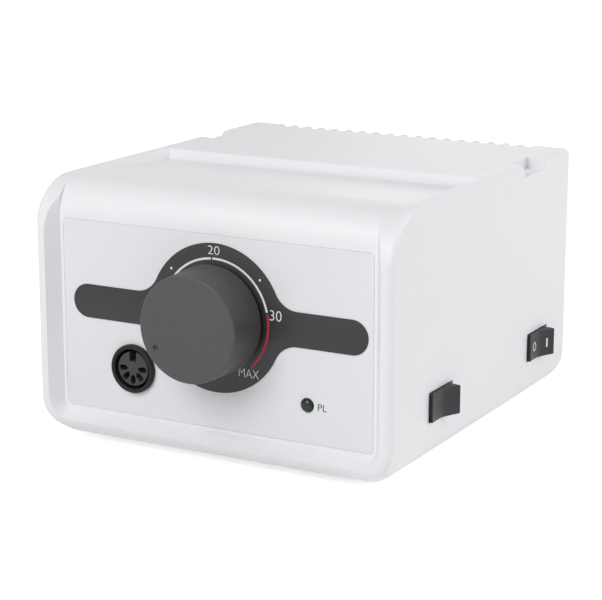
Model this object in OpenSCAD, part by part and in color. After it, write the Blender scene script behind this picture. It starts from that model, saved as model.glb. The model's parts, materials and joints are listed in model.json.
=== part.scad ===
// Control box of a nail drill: a moulded case with a speed knob, a handpiece socket,
// a pilot lamp and two rocker switches, with its supply and its electronics inside.
// X runs to the right, Y to the back and Z up. The pieces are drawn from the middle of
// the front panel's face and the underside of the case, then set on their feet by placed().

/* [Case] */
// Width of the case
case_w = 137; // [130:1:150]
// Depth of the case, from its front rim to its back
case_d = 150.8; // [148:0.2:170]
// Height of the case without its feet
case_h = 90; // [88:0.2:105]
// Wall of the case
wall = 2.8; // [2:0.1:3.2]
// Thickness of the underside round the base plate
floor_t = 5.2; // [4.6:0.1:6]
// Radius of the long edges at the top
top_edge_r = 2.6; // [1.6:0.2:6]
// Radius of the long edges at the bottom
bottom_edge_r = 11.6; // [9:0.2:13]
// Radius of the brow, from the rim to the top
brow_r = 18; // [12:0.5:20]
// Radius of the brow between the cheeks, above the panel
set_brow_r = 11.8; // [9:0.1:12]
// Radius of the chin, from the front to the underside
chin_r = 7.4; // [5:0.2:8]
// Radius of the upright edges of the front rim
rim_r = 2.6; // [1.6:0.2:3]
// Radius of the upright edges at the back
back_r = 5; // [3:0.5:9]
// Radius of the edge at the top of the back
back_top_r = 4; // [3:0.2:9]
// Radius of the edge at the foot of the back
back_foot_r = 8; // [4:0.5:10]

/* [Front frame] */
// How far the rim stands in front of the panel
rim_depth = 3.8; // [2.5:0.1:5]
// Flat lip round the panel
lip_w = 1.1; // [0.6:0.1:1.6]
// Width of the flare between lip and rim
flare_w = 4.9; // [3:0.1:5.4]
// Width of the ledge behind the panel's edge
ledge_w = 5; // [3:0.5:6]
// Thickness of the ledge behind the panel
ledge_t = 3; // [2:0.2:4]

/* [Front panel] */
// Width of the panel
panel_w = 119.4; // [112:0.2:120]
// Height of the panel
panel_h = 66; // [60:0.5:67]
// Thickness of the panel
panel_t = 2.5; // [2:0.1:3.5]
// Corner radius of the panel
panel_r = 1.4; // [1:0.1:4]
// Height of the panel's lower edge above the underside
panel_rise = 10.4; // [9:0.2:12]
// Gap round the panel
panel_gap = 0.25; // [0.1:0.05:0.4]

/* [Dial plate] */
// Height of the dial's centre above the middle of the panel
dial_rise = 5; // [2:0.2:6]
// Place of the dial's centre to the right of the middle of the panel
dial_shift = 1.1; // [0:0.1:2]
// Radius of the dial's disc
dial_r = 25.5; // [23:0.5:27]
// Reach of each arm from the centre
arm_reach = 57; // [45:0.5:58]
// Height of the arms
arm_h = 11.8; // [8:0.2:14]
// Radius of the blend from disc to arm
arm_blend = 9; // [4:0.5:12]
// Thickness of the plate
dial_t = 0.3; // [0.2:0.1:0.8]

/* [Speed knob] */
// Diameter of the knob at its foot
knob_d = 37.5; // [34:0.5:42]
// How much smaller the radius is at the knob's face
knob_draft = 0.6; // [0:0.1:1]
// Length of the knob
knob_len = 16.3; // [15:0.1:20]
// Space between the panel and the knob
knob_gap = 2; // [1.2:0.1:3]
// Wall of the knob's skirt
knob_wall = 2.4; // [1.6:0.1:4]
// Thickness of the knob's face
knob_face = 3.2; // [2.2:0.1:4]
// Radius of the edge round the face
knob_edge_r = 0.8; // [0.4:0.1:2]
// Diameter of the hub inside the knob
hub_d = 13; // [12:0.5:16]
// Length of the hub
hub_len = 8.4; // [6:0.2:9]
// Diameter of the index dimple
dimple_d = 2.2; // [1.4:0.1:3]
// Depth of the index dimple
dimple_depth = 0.8; // [0.4:0.1:1.5]
// Radius on which the index dimple lies
dimple_at = 14; // [11:0.5:15]
// Angle of the index at the slow end, from the right-hand side
slow_angle = 212; // [200:1:240]

/* [Potentiometer] */
// Diameter of the shaft
shaft_d = 6; // [5:0.5:7]
// Diameter of the threaded bushing
bush_d = 7.4; // [7.2:0.1:9]
// Length of the bushing in front of the panel
bush_len = 5.2; // [4.4:0.1:5.8]
// Diameter of the housing
pot_d = 17; // [15:0.5:22]
// Depth of the housing
pot_len = 9; // [7.5:0.5:12]
// Diameter of the wiper on the shaft
wiper_d = 12; // [9:0.5:13]
// Thickness of the wiper
wiper_t = 1.2; // [0.8:0.1:2]
// Thickness of the washer
washer_t = 0.6; // [0.4:0.1:1]
// Diameter of the washer
washer_d = 12; // [11:0.5:14]
// Thickness of the nut
nut_t = 2; // [1.6:0.1:2.4]
// Size of the nut across its corners
nut_d = 12; // [11:0.5:14]
// Outer diameter of the brass insert in the hub
insert_d = 9; // [8.4:0.2:10.5]

/* [Handpiece socket] */
// Place of the socket left of the panel's middle
socket_x = 31.7; // [30:0.1:36]
// Place of the socket below the panel's middle
socket_drop = 16.7; // [14:0.1:19]
// Diameter of the socket's ring
socket_ring_d = 17.1; // [16.6:0.1:20]
// Outer diameter of the socket's barrel
socket_barrel_d = 15.6; // [15.2:0.1:16]
// Diameter of the mouth
socket_mouth_d = 13.8; // [13.4:0.1:14]
// Diameter of the insert
socket_core_d = 12.1; // [11.4:0.1:12.4]
// How far the ring stands proud
socket_proud = 1.8; // [1:0.1:2.5]
// Depth of the barrel behind the panel's face
socket_len = 13; // [11:0.5:15]
// Radius of the contacts' circle
contact_at = 3.9; // [3.5:0.1:4.2]
// Diameter of a contact
contact_d = 1.5; // [1.2:0.1:1.7]
// Width of the key slot
key_w = 2.2; // [1.6:0.1:3]
// Depth of the key slot
key_depth = 1.5; // [1:0.1:1.8]

/* [Pilot lamp] */
// Place of the lamp right of the panel's middle
lamp_x = 35.8; // [32:0.1:40]
// Place of the lamp below the panel's middle
lamp_drop = 20; // [17:0.1:24]
// Diameter of the lens
lamp_d = 4.9; // [4:0.1:6]
// How far the lens stands proud
lamp_proud = 1.5; // [0.8:0.1:2]
// Height of the dome on the lens
lamp_dome = 1; // [0.5:0.1:1.4]

/* [Rocker switches] */
// Place of the direction switch behind the panel's face
direction_y = 32.8; // [30:0.2:36]
// Height of the direction switch above the underside
direction_z = 20.8; // [18:0.2:26]
// Place of the power switch behind the panel's face
power_y = 116.2; // [110:0.2:116.4]
// Height of the power switch above the underside
power_z = 21.4; // [18:0.2:26]
// Width of a rocker
rocker_w = 9.9; // [8.5:0.1:11]
// Length of each half of a rocker
rocker_half = 7.8; // [7:0.1:8.5]
// Angle of each half of a rocker
rocker_tilt = 12.5; // [9:0.5:14]
// How far the pressed half stands proud of the case
rocker_proud = 1.4; // [1:0.1:2]
// Depth of the pivot behind the case's inner face
pivot_depth = 2.2; // [1.9:0.1:2.6]
// Diameter of the pivot pins
pivot_d = 2.4; // [1.8:0.1:2.8]
// Length of a pivot pin
pivot_len = 1.4; // [1:0.1:1.8]
// Depth of a switch housing
housing_depth = 12; // [10:0.5:14]
// Wall of a switch housing
housing_wall = 2; // [1.9:0.1:3]

/* [Top] */
// Start of the tool rest behind the panel's face
rest_start = 18; // [15:0.5:24]
// Place of the rest's back wall behind the panel's face
rest_back = 73; // [66:0.5:78]
// Run of the rest's back wall
rest_run = 1.6; // [0.8:0.1:3]
// Depth of the rest at its back wall
rest_depth = 4; // [3:0.1:6]
// Drop of the deck behind the rest
deck_drop = 0.4; // [0.2:0.1:2.6]
// End of the deck's slope behind the panel's face
deck_end = 128; // [120:1:134]
// Half the length of the rest
rest_half = 64.5; // [56:0.5:65]
// Run of the rest's ends for each millimetre of depth
rest_end_run = 0.6; // [0.4:0.1:2]
// Front end of the cradle pockets behind the panel's face
pocket_start = 100.5; // [90:0.5:105]
// Length of a cradle pocket
pocket_len = 19; // [14:0.5:22]
// Width of a cradle pocket, in from the side
pocket_w = 7; // [6:0.5:13]
// Depth of a cradle pocket
pocket_depth = 4.2; // [3.5:0.1:6]

/* [Vents] */
// Number of vents
vent_count = 18; // [10:1:19]
// Spacing of the vents
vent_pitch = 6.1; // [5:0.1:6.4]
// Width of a vent groove
vent_w = 4.2; // [2:0.1:4.4]
// Depth of a vent groove
vent_depth = 1.6; // [0.8:0.1:1.8]
// Height of the grooves' lower end above the underside
vent_low = 52; // [50:0.5:60]
// How far the grooves run onto the top
vent_wrap = 3; // [0:0.5:6]
// Width of the slot in a groove
slot_w = 1.8; // [1:0.1:2]
// Length of the slot in a groove
slot_len = 22; // [12:0.5:24]

/* [Back] */
// Place of the mains inlet in from the right side
inlet_side = 40.5; // [36:0.5:44]
// Height of the mains inlet above the underside
inlet_z = 34; // [30:0.5:36]
// Width of the inlet's flange
inlet_flange_w = 31; // [30:0.5:34]
// Height of the inlet's flange
inlet_flange_h = 25; // [23.5:0.5:27]
// Thickness of the inlet's flange
inlet_flange_t = 2; // [1.5:0.1:3]
// Width of the inlet's recess
recess_w = 24.4; // [24:0.1:24.8]
// Height of the inlet's recess
recess_h = 16.6; // [16.2:0.1:17]
// Depth of the inlet's recess
recess_depth = 16; // [14:0.5:18]
// Wall of the inlet's body
inlet_wall = 1.6; // [1.2:0.1:2]
// Spacing of the outer inlet pins
pin_pitch = 14; // [13:0.5:15]
// Width of an inlet pin
pin_w = 2; // [1.6:0.1:2.4]
// Height of an inlet pin
pin_h = 4; // [3.5:0.1:4.4]
// Place of the fuse holder left of the middle
fuse_x = 9; // [6:0.5:12]
// Height of the fuse holder above the underside
fuse_z = 31; // [26:0.5:36]
// Diameter of the fuse holder's barrel
fuse_barrel_d = 12; // [11:0.5:13]
// Diameter of the fuse holder's flange
fuse_flange_d = 15; // [14.5:0.5:17]
// Thickness of the fuse holder's flange
fuse_flange_t = 1.6; // [1.2:0.1:2.4]
// Depth of the fuse holder
fuse_len = 28; // [26:0.5:30]
// Diameter of the fuse cap
fuse_cap_d = 12; // [11:0.5:13]
// Length of the fuse cap
fuse_cap_len = 6; // [4:0.5:8]
// Diameter of the cap's stem
fuse_stem_d = 8; // [7:0.2:8.6]
// Length of the cap's stem
fuse_stem_len = 9; // [7:0.5:11]
// Diameter of the fuse
fuse_d = 5.2; // [5:0.1:5.4]
// Length of the fuse
fuse_tube_len = 20; // [18:0.5:20.5]
// Place of the pedal jack in from the left side
jack_side = 26.5; // [24:0.5:28]
// Height of the pedal jack above the underside
jack_z = 31; // [26:0.5:36]
// Bore of the pedal jack
jack_bore_d = 6.4; // [6.4:0.05:6.6]
// Diameter of the jack's bushing
jack_bush_d = 9; // [8.6:0.1:10]
// How far the jack's bushing stands proud
jack_proud = 3.6; // [3.4:0.1:5]
// Width of the jack's body
jack_body_w = 15; // [12.5:0.5:16]
// Depth of the jack behind the case's inner face
jack_len = 26; // [20:0.5:30]
// Size of the jack's nut across its corners
jack_nut_d = 13; // [12:0.5:15]
// Thickness of the jack's nut
jack_nut_t = 2.4; // [1.8:0.1:3]

/* [Base] */
// Width of the base plate
base_w = 113; // [110:0.5:114]
// Depth of the base plate
base_len = 134; // [132:0.5:138]
// Thickness of the base plate
base_t = 2.5; // [2:0.1:3]
// Corner radius of the base plate
base_r = 5; // [4:0.5:8]
// How far the base plate lies up inside the underside
base_recess = 0.2; // [0.1:0.1:0.6]
// Width of the ledge that the base plate bears on
base_ledge = 6.7; // [6.4:0.1:7.5]
// Place of the base screws in from the plate's edges
screw_inset = 3.6; // [3.2:0.1:4]
// Diameter of a base screw
screw_d = 2.6; // [2.2:0.1:3]
// Diameter of a base screw's head
screw_head_d = 5; // [4.4:0.1:5.4]
// Length of a base screw
screw_len = 12; // [8:0.5:14]
// Diameter of a screw boss
boss_d = 7; // [5.6:0.2:8]
// Diameter of a foot
foot_d = 12; // [8:0.5:16]
// Height of a foot below the underside
foot_h = 3; // [2:0.1:5]
// Place of the feet in from the plate's edges
foot_inset = 16; // [14:0.5:24]

/* [Transformer] */
// Place of the transformer left of the middle
core_x = 22; // [21:0.5:24]
// Place of the transformer behind the panel's face
core_y = 82.5; // [80:0.5:86]
// Length of the core
core_len = 57; // [54:0.5:57]
// Height of the core
core_h = 48; // [45:0.5:52]
// Thickness of the core's stack
core_t = 24; // [20:0.5:26]
// Width of the core's middle limb
limb_w = 19; // [17:0.5:20]
// Height of the core's windows
window_h = 29; // [26:0.5:30]
// Width of the core's windows
window_w = 9.5; // [9:0.1:10]
// How far the coil stands out of the core
coil_out = 9; // [6:0.5:9.5]
// Thickness of the bracket's strap
strap_t = 1.2; // [0.8:0.1:1.6]
// Width of the bracket's strap
strap_w = 14; // [12:0.5:18]
// Length of the bracket's feet
strap_foot = 10; // [8:0.5:11]

/* [Circuit board] */
// Space between the board's side and the pieces beside it
board_gap = 2.3; // [1.5:0.1:2.6]
// Place of the board behind the panel's face
board_y = 60; // [59:0.5:61]
// Width of the board
board_w = 42; // [40:0.5:43]
// Length of the board
board_len = 80; // [76:0.5:80]
// Thickness of the board
board_t = 1.6; // [1.2:0.1:2]
// Height of the board's posts
post_h = 8; // [6:0.5:10]
// Diameter of the board's posts
post_d = 6; // [5:0.5:7]
// Place of the posts in from the board's edges
post_inset = 4; // [3.5:0.1:5]
// Diameter of the filter capacitor
filter_d = 18; // [14:0.5:20]
// Height of the filter capacitor
filter_h = 30; // [20:0.5:34]
// Diameter of a small capacitor
small_cap_d = 8; // [5:0.5:9]
// Height of a small capacitor
small_cap_h = 11.5; // [8:0.5:14]
// Length of the control chip
chip_len = 24; // [18:0.5:26]
// Width of the control chip
chip_w = 7; // [6:0.5:9]
// Height of the control chip
chip_h = 3.6; // [3:0.1:4.5]
// Width of the bridge rectifier
bridge_w = 16; // [12:0.5:17]
// Thickness of the bridge rectifier
bridge_t = 5; // [4:0.2:6]
// Height of the bridge rectifier
bridge_h = 16; // [12:0.5:20]
// Width of a wire header
header_w = 10; // [8:0.5:11]
// Depth of a wire header
header_t = 6; // [5:0.2:7]
// Height of a wire header
header_h = 8; // [6:0.5:10]

/* [Heat sink] */
// Width of the heat sink
sink_w = 34; // [28:0.5:35]
// Depth of the heat sink
sink_t = 18; // [14:0.5:19]
// Height of the heat sink
sink_h = 34; // [30:0.5:40]
// Thickness of the heat sink's back
sink_back = 4; // [3:0.2:5]
// Number of fins
fin_count = 7; // [5:1:8]
// Thickness of a fin
fin_t = 1.6; // [1.2:0.1:2]
// Width of the power transistor
device_w = 10.2; // [9:0.2:15]
// Thickness of the power transistor
device_t = 4.4; // [3.6:0.2:4.6]
// Height of the power transistor
device_h = 16; // [14:0.5:18]
// Height of the transistor above the board
device_rise = 3; // [2:0.5:4]

/* [Wiring] */
// Diameter of a bundle of wires
wire_d = 2.6; // [2:0.1:3]

/* [Hidden] */
$fn = 64;
// Gap between pieces that sit in one another
fit_gap = 0.05;
// Running gap of a shaft or pin in its hole
run_gap = 0.05;
// Gap between pieces that move past one another
move_gap = 0.3;
// Gap of a piece that drops into its cut-out
drop_gap = 0.2;
// Overrun of an opening past the faces that it opens
over = 1;

half_w = case_w / 2;
y_front = -rim_depth;
y_back = y_front + case_d;
panel_z = panel_rise + panel_h / 2;
knob_z = panel_z + dial_rise;
knob_r = knob_d / 2;
knob_tip = knob_gap + knob_len;
inner_x = half_w - wall;
inlet_x = half_w - inlet_side;
jack_x = half_w - jack_side;
inner_back = y_back - wall;
base_y = (y_front + y_back) / 2;
base_top = base_recess + base_t;
board_top = base_top + post_h + board_t;
// Terminals of a switch
blade_t = 0.8;
blade_w = 4;
blade_len = 7;
blade_pitch = 7;
// Places of the wire headers, as shares of the board's width and length from its middle
header_places = [[-0.28, -0.36], [0.02, -0.36], [0.32, -0.36]];
// Place of the board, with its headers clear of the switch terminals and its posts of the ledge
board_x = min(
  inner_x - housing_depth - blade_len - board_gap - header_w / 2 - header_places[2][0] * board_w,
  base_w / 2 - base_ledge - board_gap - post_d / 2 + post_inset - board_w / 2);
rocker_reach = half_w + rocker_proud + rocker_half * sin(2 * rocker_tilt);
cap_tip = y_back + fuse_flange_t + move_gap + fuse_cap_len;
// Middle of the whole object, seen from above
mid_x = (rocker_reach - half_w) / 2;
mid_y = (cap_tip - knob_tip) / 2;

// Shapes that repeat

module placed() {
  translate([-mid_x, -mid_y, foot_h]) children();
}

module along_x(x0, x1) {
  translate([x0, 0, 0]) rotate([90, 0, 90]) linear_extrude(x1 - x0) children();
}

module along_y(y0, y1) {
  translate([0, y1, 0]) rotate([90, 0, 0]) linear_extrude(y1 - y0) children();
}

module along_z(z0, z1) {
  translate([0, 0, z0]) linear_extrude(z1 - z0) children();
}

module rod_x(d, x0, x1) {
  translate([x0, 0, 0]) rotate([0, 90, 0]) cylinder(d = d, h = x1 - x0);
}

module rod_y(d, y0, y1) {
  translate([0, y1, 0]) rotate([90, 0, 0]) cylinder(d = d, h = y1 - y0);
}

module rod_z(d, z0, z1) {
  translate([0, 0, z0]) cylinder(d = d, h = z1 - z0);
}

module block(low, high) {
  translate(low) cube(high - low);
}

// Profile of a turned piece, with its foot on the panel side and its tip towards the front
module turned(y_foot) {
  translate([0, y_foot, 0]) rotate([90, 0, 0]) rotate_extrude() children();
}

module corner_cut(x, y, dx, dy, r) {
  difference() {
    translate([x + (dx < 0 ? -r : -over), y + (dy < 0 ? -r : -over)]) square(r + over);
    translate([x + dx * r, y + dy * r]) circle(r);
  }
}

// Rectangle with a radius of its own at each corner, from the lower left one round
module corner_rect(low, high, radii) {
  difference() {
    translate(low) square(high - low);
    corner_cut(low[0], low[1], 1, 1, radii[0]);
    corner_cut(high[0], low[1], -1, 1, radii[1]);
    corner_cut(high[0], high[1], -1, -1, radii[2]);
    corner_cut(low[0], high[1], 1, -1, radii[3]);
  }
}

module round_rect(w, h, r) {
  corner_rect([-w / 2, -h / 2], [w / 2, h / 2], [r, r, r, r]);
}

module at_corners(dx, dy) {
  for (sx = [-1, 1], sy = [-1, 1])
    translate([sx * dx, sy * dy, 0]) children();
}

// Places of the pieces

module at_knob() translate([dial_shift, 0, knob_z]) children();
module at_socket() translate([-socket_x, 0, panel_z - socket_drop]) children();
module at_lamp() translate([lamp_x, 0, panel_z - lamp_drop]) children();
module at_base() translate([0, base_y, 0]) children();
module at_base_screws() at_base() at_corners(base_w / 2 - screw_inset, base_len / 2 - screw_inset) children();
module at_inlet() translate([inlet_x, y_back, inlet_z]) children();
module at_fuse() translate([-fuse_x, y_back, fuse_z]) children();
module at_jack() translate([-jack_x, y_back, jack_z]) children();
module at_core() translate([-core_x, core_y, base_top]) children();
module at_board() translate([board_x, board_y, 0]) children();
module at_posts() at_board() at_corners(board_w / 2 - post_inset, board_len / 2 - post_inset) children();

// Case

function eased(r, inset) = max(r - inset, rim_r / 2);

module side_profile(inset) {
  corner_rect([y_front + inset, inset], [y_back - inset, case_h - inset],
    [eased(chin_r, inset), eased(back_foot_r, inset), eased(back_top_r, inset), eased(brow_r, inset)]);
}

module front_outline(inset) {
  corner_rect([-half_w + inset, inset], [half_w - inset, case_h - inset],
    [eased(bottom_edge_r, inset), eased(bottom_edge_r, inset),
     eased(top_edge_r, inset), eased(top_edge_r, inset)]);
}

module plan_outline(inset) {
  corner_rect([-half_w + inset, y_front + inset], [half_w - inset, y_back - inset],
    [eased(rim_r, inset), eased(rim_r, inset), eased(back_r, inset), eased(back_r, inset)]);
}

module case_outer() {
  intersection() {
    along_x(-half_w, half_w) side_profile(0);
    along_y(y_front, y_back) front_outline(0);
    along_z(0, case_h) plan_outline(0);
  }
}

// Shallow rest across the top with a steep back wall, and the sloping deck behind it
module tool_rest(grow) {
  sunk = rest_depth + grow;
  intersection() {
    along_x(-half_w, half_w) polygon([
      [rest_start - grow, case_h + over],
      [rest_start - grow, case_h - grow],
      [rest_back - rest_run + grow, case_h - sunk],
      [rest_back + grow, case_h - deck_drop - grow],
      [deck_end + grow, case_h - grow],
      [deck_end + grow, case_h + over]]);
    along_y(y_front, y_back) polygon([
      [-rest_half - grow - rest_end_run * over, case_h + over],
      [rest_half + grow + rest_end_run * over, case_h + over],
      [rest_half + grow - rest_end_run * (sunk + over), case_h - sunk - over],
      [-rest_half - grow + rest_end_run * (sunk + over), case_h - sunk - over]]);
  }
}

// Pockets in the top's side edges, for the feet of a handpiece cradle
module cradle_pockets(grow) {
  for (side = [0, 1])
    mirror([side, 0, 0])
      block([half_w - pocket_w - grow, pocket_start - grow, case_h - pocket_depth - grow],
        [half_w + over, pocket_start + pocket_len + grow, case_h + over]);
}

module case_cavity() {
  difference() {
    intersection() {
      along_x(-inner_x, inner_x) side_profile(wall);
      along_y(panel_t + ledge_t, inner_back) front_outline(wall);
      along_z(floor_t, case_h - wall) plan_outline(wall);
    }
    tool_rest(wall);
    cradle_pockets(wall);
    at_base_screws() rod_z(boss_d, 0, screw_len + base_recess);
  }
}

lip_x = panel_w / 2 + panel_gap + lip_w;
lip_z = panel_h / 2 + panel_gap + lip_w;

// Mouth in front of the panel, widening from the lip to the chin and to the cheeks
module flare() {
  reach = rim_depth + over;
  spread = flare_w / rim_depth * reach;
  r = panel_r + panel_gap + lip_w;
  translate([0, 0, panel_z]) union() {
    along_z(r - lip_z, case_h)
      polygon([[-lip_x, 0], [lip_x, 0], [lip_x + spread, -reach], [-lip_x - spread, -reach]]);
    along_x(r - lip_x, lip_x - r) polygon([[0, -lip_z], [0, 0], [-reach, 0], [-reach, -lip_z - spread]]);
    for (sx = [-1, 1])
      translate([sx * (lip_x - r), 0, r - lip_z]) rotate([90, 0, 0])
        cylinder(h = reach, r1 = r, r2 = r + spread);
  }
}

// Room above the panel, between the cheeks, down to a brow that starts at the panel's face
module brow_room() {
  low = panel_z + lip_z;
  along_x(-lip_x, lip_x) difference() {
    translate([-over, low]) square([set_brow_r / 2 + over, case_h]);
    translate([set_brow_r, low]) circle(set_brow_r);
  }
}

module panel_seat() {
  translate([0, 0, panel_z]) {
    along_y(-over, panel_t)
      round_rect(panel_w + 2 * panel_gap, panel_h + 2 * panel_gap, panel_r + panel_gap);
    along_y(0, panel_t + ledge_t + over)
      round_rect(panel_w - 2 * ledge_w, panel_h - 2 * ledge_w, panel_r);
  }
}

module base_seat() {
  at_base() {
    along_z(-over, base_top) round_rect(base_w, base_len, base_r);
    along_z(0, floor_t + over) round_rect(base_w - 2 * base_ledge, base_len - 2 * base_ledge, base_r);
  }
  at_base_screws() rod_z(screw_d + 2 * fit_gap, 0, screw_len + base_recess - over);
}

module vents() {
  first = -(vent_count - 1) / 2 * vent_pitch;
  difference() {
    for (i = [0 : vent_count - 1])
      translate([first + i * vent_pitch, 0, 0])
        block([-vent_w / 2, y_back - back_top_r - vent_wrap, vent_low],
          [vent_w / 2, y_back + over, case_h + over]);
    along_x(-half_w, half_w) side_profile(vent_depth);
  }
  for (i = [0 : vent_count - 1])
    translate([first + i * vent_pitch, 0, 0])
      block([-slot_w / 2, inner_back - over, vent_low + vent_w],
        [slot_w / 2, y_back + over, vent_low + vent_w + slot_len]);
}

rocker_room_y = rocker_half * cos(rocker_tilt)
  + (wall + pivot_depth + rocker_proud) * tan(rocker_tilt) + move_gap / 2;
rocker_room_z = rocker_w / 2 + move_gap;

module rocker_cut_out(y, z) {
  block([inner_x - over, y - rocker_room_y, z - rocker_room_z],
    [half_w + over, y + rocker_room_y, z + rocker_room_z]);
}

inlet_body_w = recess_w + 2 * inlet_wall;
inlet_body_h = recess_h + 2 * inlet_wall;

module back_holes() {
  at_inlet() along_y(-wall - over, over)
    square([inlet_body_w + 2 * drop_gap, inlet_body_h + 2 * drop_gap], center = true);
  at_fuse() rod_y(fuse_barrel_d + 2 * fit_gap, -wall - over, over);
  at_jack() rod_y(jack_bush_d + 2 * fit_gap, -wall - over, over);
}

module upper_case() {
  color("whitesmoke") placed() difference() {
    case_outer();
    case_cavity();
    tool_rest(0);
    cradle_pockets(0);
    flare();
    brow_room();
    panel_seat();
    base_seat();
    vents();
    rocker_cut_out(direction_y, direction_z);
    rocker_cut_out(power_y, power_z);
    back_holes();
  }
}

// Base

module base_plate() {
  color("gainsboro") placed() difference() {
    at_base() along_z(base_recess, base_top)
      round_rect(base_w - 2 * drop_gap, base_len - 2 * drop_gap, base_r - drop_gap);
    at_base_screws() screw_shape(fit_gap);
    at_core() at_strap_screws() rod_z(screw_d + 2 * fit_gap, -base_t - over, over);
  }
}

// Countersunk screw, head down, from the underside of the base plate
module screw_shape(gap) {
  head_h = (screw_head_d - screw_d) / 2;
  translate([0, 0, base_recess]) {
    cylinder(d1 = screw_head_d + 2 * gap, d2 = screw_d + 2 * gap, h = head_h);
    translate([0, 0, head_h]) cylinder(d = screw_d + 2 * gap, h = screw_len - head_h - 2 * over);
  }
}

module base_screws() {
  color("silver") placed() at_base_screws() screw_shape(0);
}

module rubber_feet() {
  color("dimgray") placed() at_base() at_corners(base_w / 2 - foot_inset, base_len / 2 - foot_inset)
    rod_z(foot_d, -foot_h, base_recess);
}

// Front

module front_panel() {
  color("aliceblue") placed() difference() {
    translate([0, 0, panel_z]) along_y(0, panel_t) round_rect(panel_w, panel_h, panel_r);
    at_knob() rod_y(bush_d + 2 * fit_gap, -over, panel_t + over);
    at_socket() rod_y(socket_barrel_d + 2 * fit_gap, -over, panel_t + over);
    at_lamp() rod_y(lamp_d + 2 * fit_gap, -over, panel_t + over);
  }
}

module dial_outline() {
  blend_y = arm_h / 2 + arm_blend;
  blend_x = sqrt(pow(dial_r + arm_blend, 2) - pow(blend_y, 2));
  circle(dial_r);
  round_rect(2 * arm_reach, arm_h, arm_h / 2 - fit_gap);
  for (mx = [0, 1], my = [0, 1])
    mirror([mx, 0, 0]) mirror([0, my, 0]) difference() {
      polygon([[0, 0], [blend_x, 0], [blend_x, blend_y]]);
      translate([blend_x, blend_y]) circle(arm_blend);
    }
}

module dial_plate() {
  color("dimgray") placed() at_knob() difference() {
    along_y(-dial_t, 0) dial_outline();
    rod_y(bush_d + 2 * fit_gap, -dial_t - over, over);
    translate([-socket_x - dial_shift, 0, -socket_drop - dial_rise])
      rod_y(socket_ring_d + 2 * drop_gap, -dial_t - over, over);
  }
}

module speed_knob() {
  color("gray") placed() at_knob() difference() {
    turned(-knob_gap) difference() {
      polygon([[0, 0], [knob_r, 0], [knob_r - knob_draft, knob_len], [0, knob_len]]);
      corner_cut(knob_r - knob_draft * (1 - knob_edge_r / knob_len), knob_len, -1, -1, knob_edge_r);
      translate([hub_d / 2, -over]) square([knob_r - knob_wall - hub_d / 2, knob_len - knob_face + over]);
      translate([-over, -over]) square([hub_d / 2 + over, knob_len - knob_face - hub_len + over]);
      translate([-over, 0]) square([insert_d / 2 + fit_gap + over, knob_len - knob_face]);
    }
    rotate([0, -slow_angle, 0]) translate([dimple_at, 0, 0])
      rod_y(dimple_d, -knob_tip - over, -knob_tip + dimple_depth);
  }
}

hub_back = knob_gap + knob_len - knob_face - hub_len;

module knob_insert() {
  color("goldenrod") placed() at_knob() difference() {
    rod_y(insert_d, -hub_back - hub_len, -hub_back);
    rod_y(shaft_d + 2 * fit_gap, -hub_back - hub_len - over, -hub_back + over);
  }
}

module pot_shaft() {
  color("silver") placed() at_knob() {
    rod_y(shaft_d, -hub_back - hub_len, panel_t + ledge_t);
    rod_y(wiper_d, panel_t + ledge_t - wiper_t, panel_t + ledge_t);
  }
}

module pot_housing() {
  color("slategray") placed() at_knob() difference() {
    union() {
      rod_y(pot_d, panel_t, panel_t + pot_len);
      rod_y(bush_d, -bush_len, panel_t + over);
    }
    rod_y(shaft_d + 2 * run_gap, -bush_len - over, panel_t + ledge_t);
    rod_y(wiper_d + 2 * move_gap, panel_t + ledge_t - wiper_t - move_gap, panel_t + ledge_t + move_gap);
  }
}

module pot_washer() {
  color("silver") placed() at_knob() difference() {
    rod_y(washer_d, -dial_t - washer_t, -dial_t);
    rod_y(bush_d + 2 * fit_gap, -dial_t - washer_t - over, over);
  }
}

module pot_nut() {
  nut_back = -dial_t - washer_t;
  color("silver") placed() at_knob() difference() {
    translate([0, nut_back, 0]) rotate([90, 0, 0]) cylinder(d = nut_d, h = nut_t, $fn = 6);
    rod_y(bush_d + 2 * fit_gap, nut_back - nut_t - over, nut_back + over);
  }
}

lug_w = 2;
lug_t = 0.6;
lug_len = 7;
lug_pitch = 5;

module pot_terminals() {
  back = panel_t + pot_len;
  color("silver") placed() at_knob() for (i = [-1 : 1])
    translate([i * lug_pitch, back, -pot_d / 4])
      block([-lug_w / 2, 0, -lug_len], [lug_w / 2, lug_t, 0]);
}

// Handpiece socket

contact_count = 5;
contact_step = 45;
socket_lip_t = 1;
socket_nut_d = 19.6;
socket_nut_t = 2.4;
tail_len = 4;

module socket_shell() {
  color("black") placed() at_socket() difference() {
    union() {
      rod_y(socket_ring_d, -socket_proud, 0);
      rod_y(socket_barrel_d, 0, socket_len);
    }
    rod_y(socket_mouth_d, -socket_proud - over, socket_len - socket_lip_t);
    rod_y(2 * contact_at + 2 * contact_d, 0, socket_len + over);
  }
}

module at_contacts() {
  for (i = [0 : contact_count - 1])
    rotate([0, i * contact_step, 0]) translate([contact_at, 0, 0]) children();
}

module socket_insert() {
  color("gray") placed() at_socket() difference() {
    rod_y(socket_core_d, -socket_proud / 2, socket_len - socket_lip_t);
    at_contacts() rod_y(contact_d + 2 * fit_gap, -socket_proud - over, socket_len + over);
    block([-key_w / 2, -socket_proud - over, socket_core_d / 2 - key_depth],
      [key_w / 2, socket_len / 2, socket_core_d]);
  }
}

module socket_contacts() {
  color("silver") placed() at_socket() at_contacts()
    rod_y(contact_d, panel_t, socket_len + tail_len);
}

module socket_nut() {
  color("black") placed() at_socket() difference() {
    rod_y(socket_nut_d, panel_t, panel_t + socket_nut_t);
    rod_y(socket_barrel_d + 2 * fit_gap, 0, panel_t + socket_nut_t + over);
  }
}

// Pilot lamp

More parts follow.
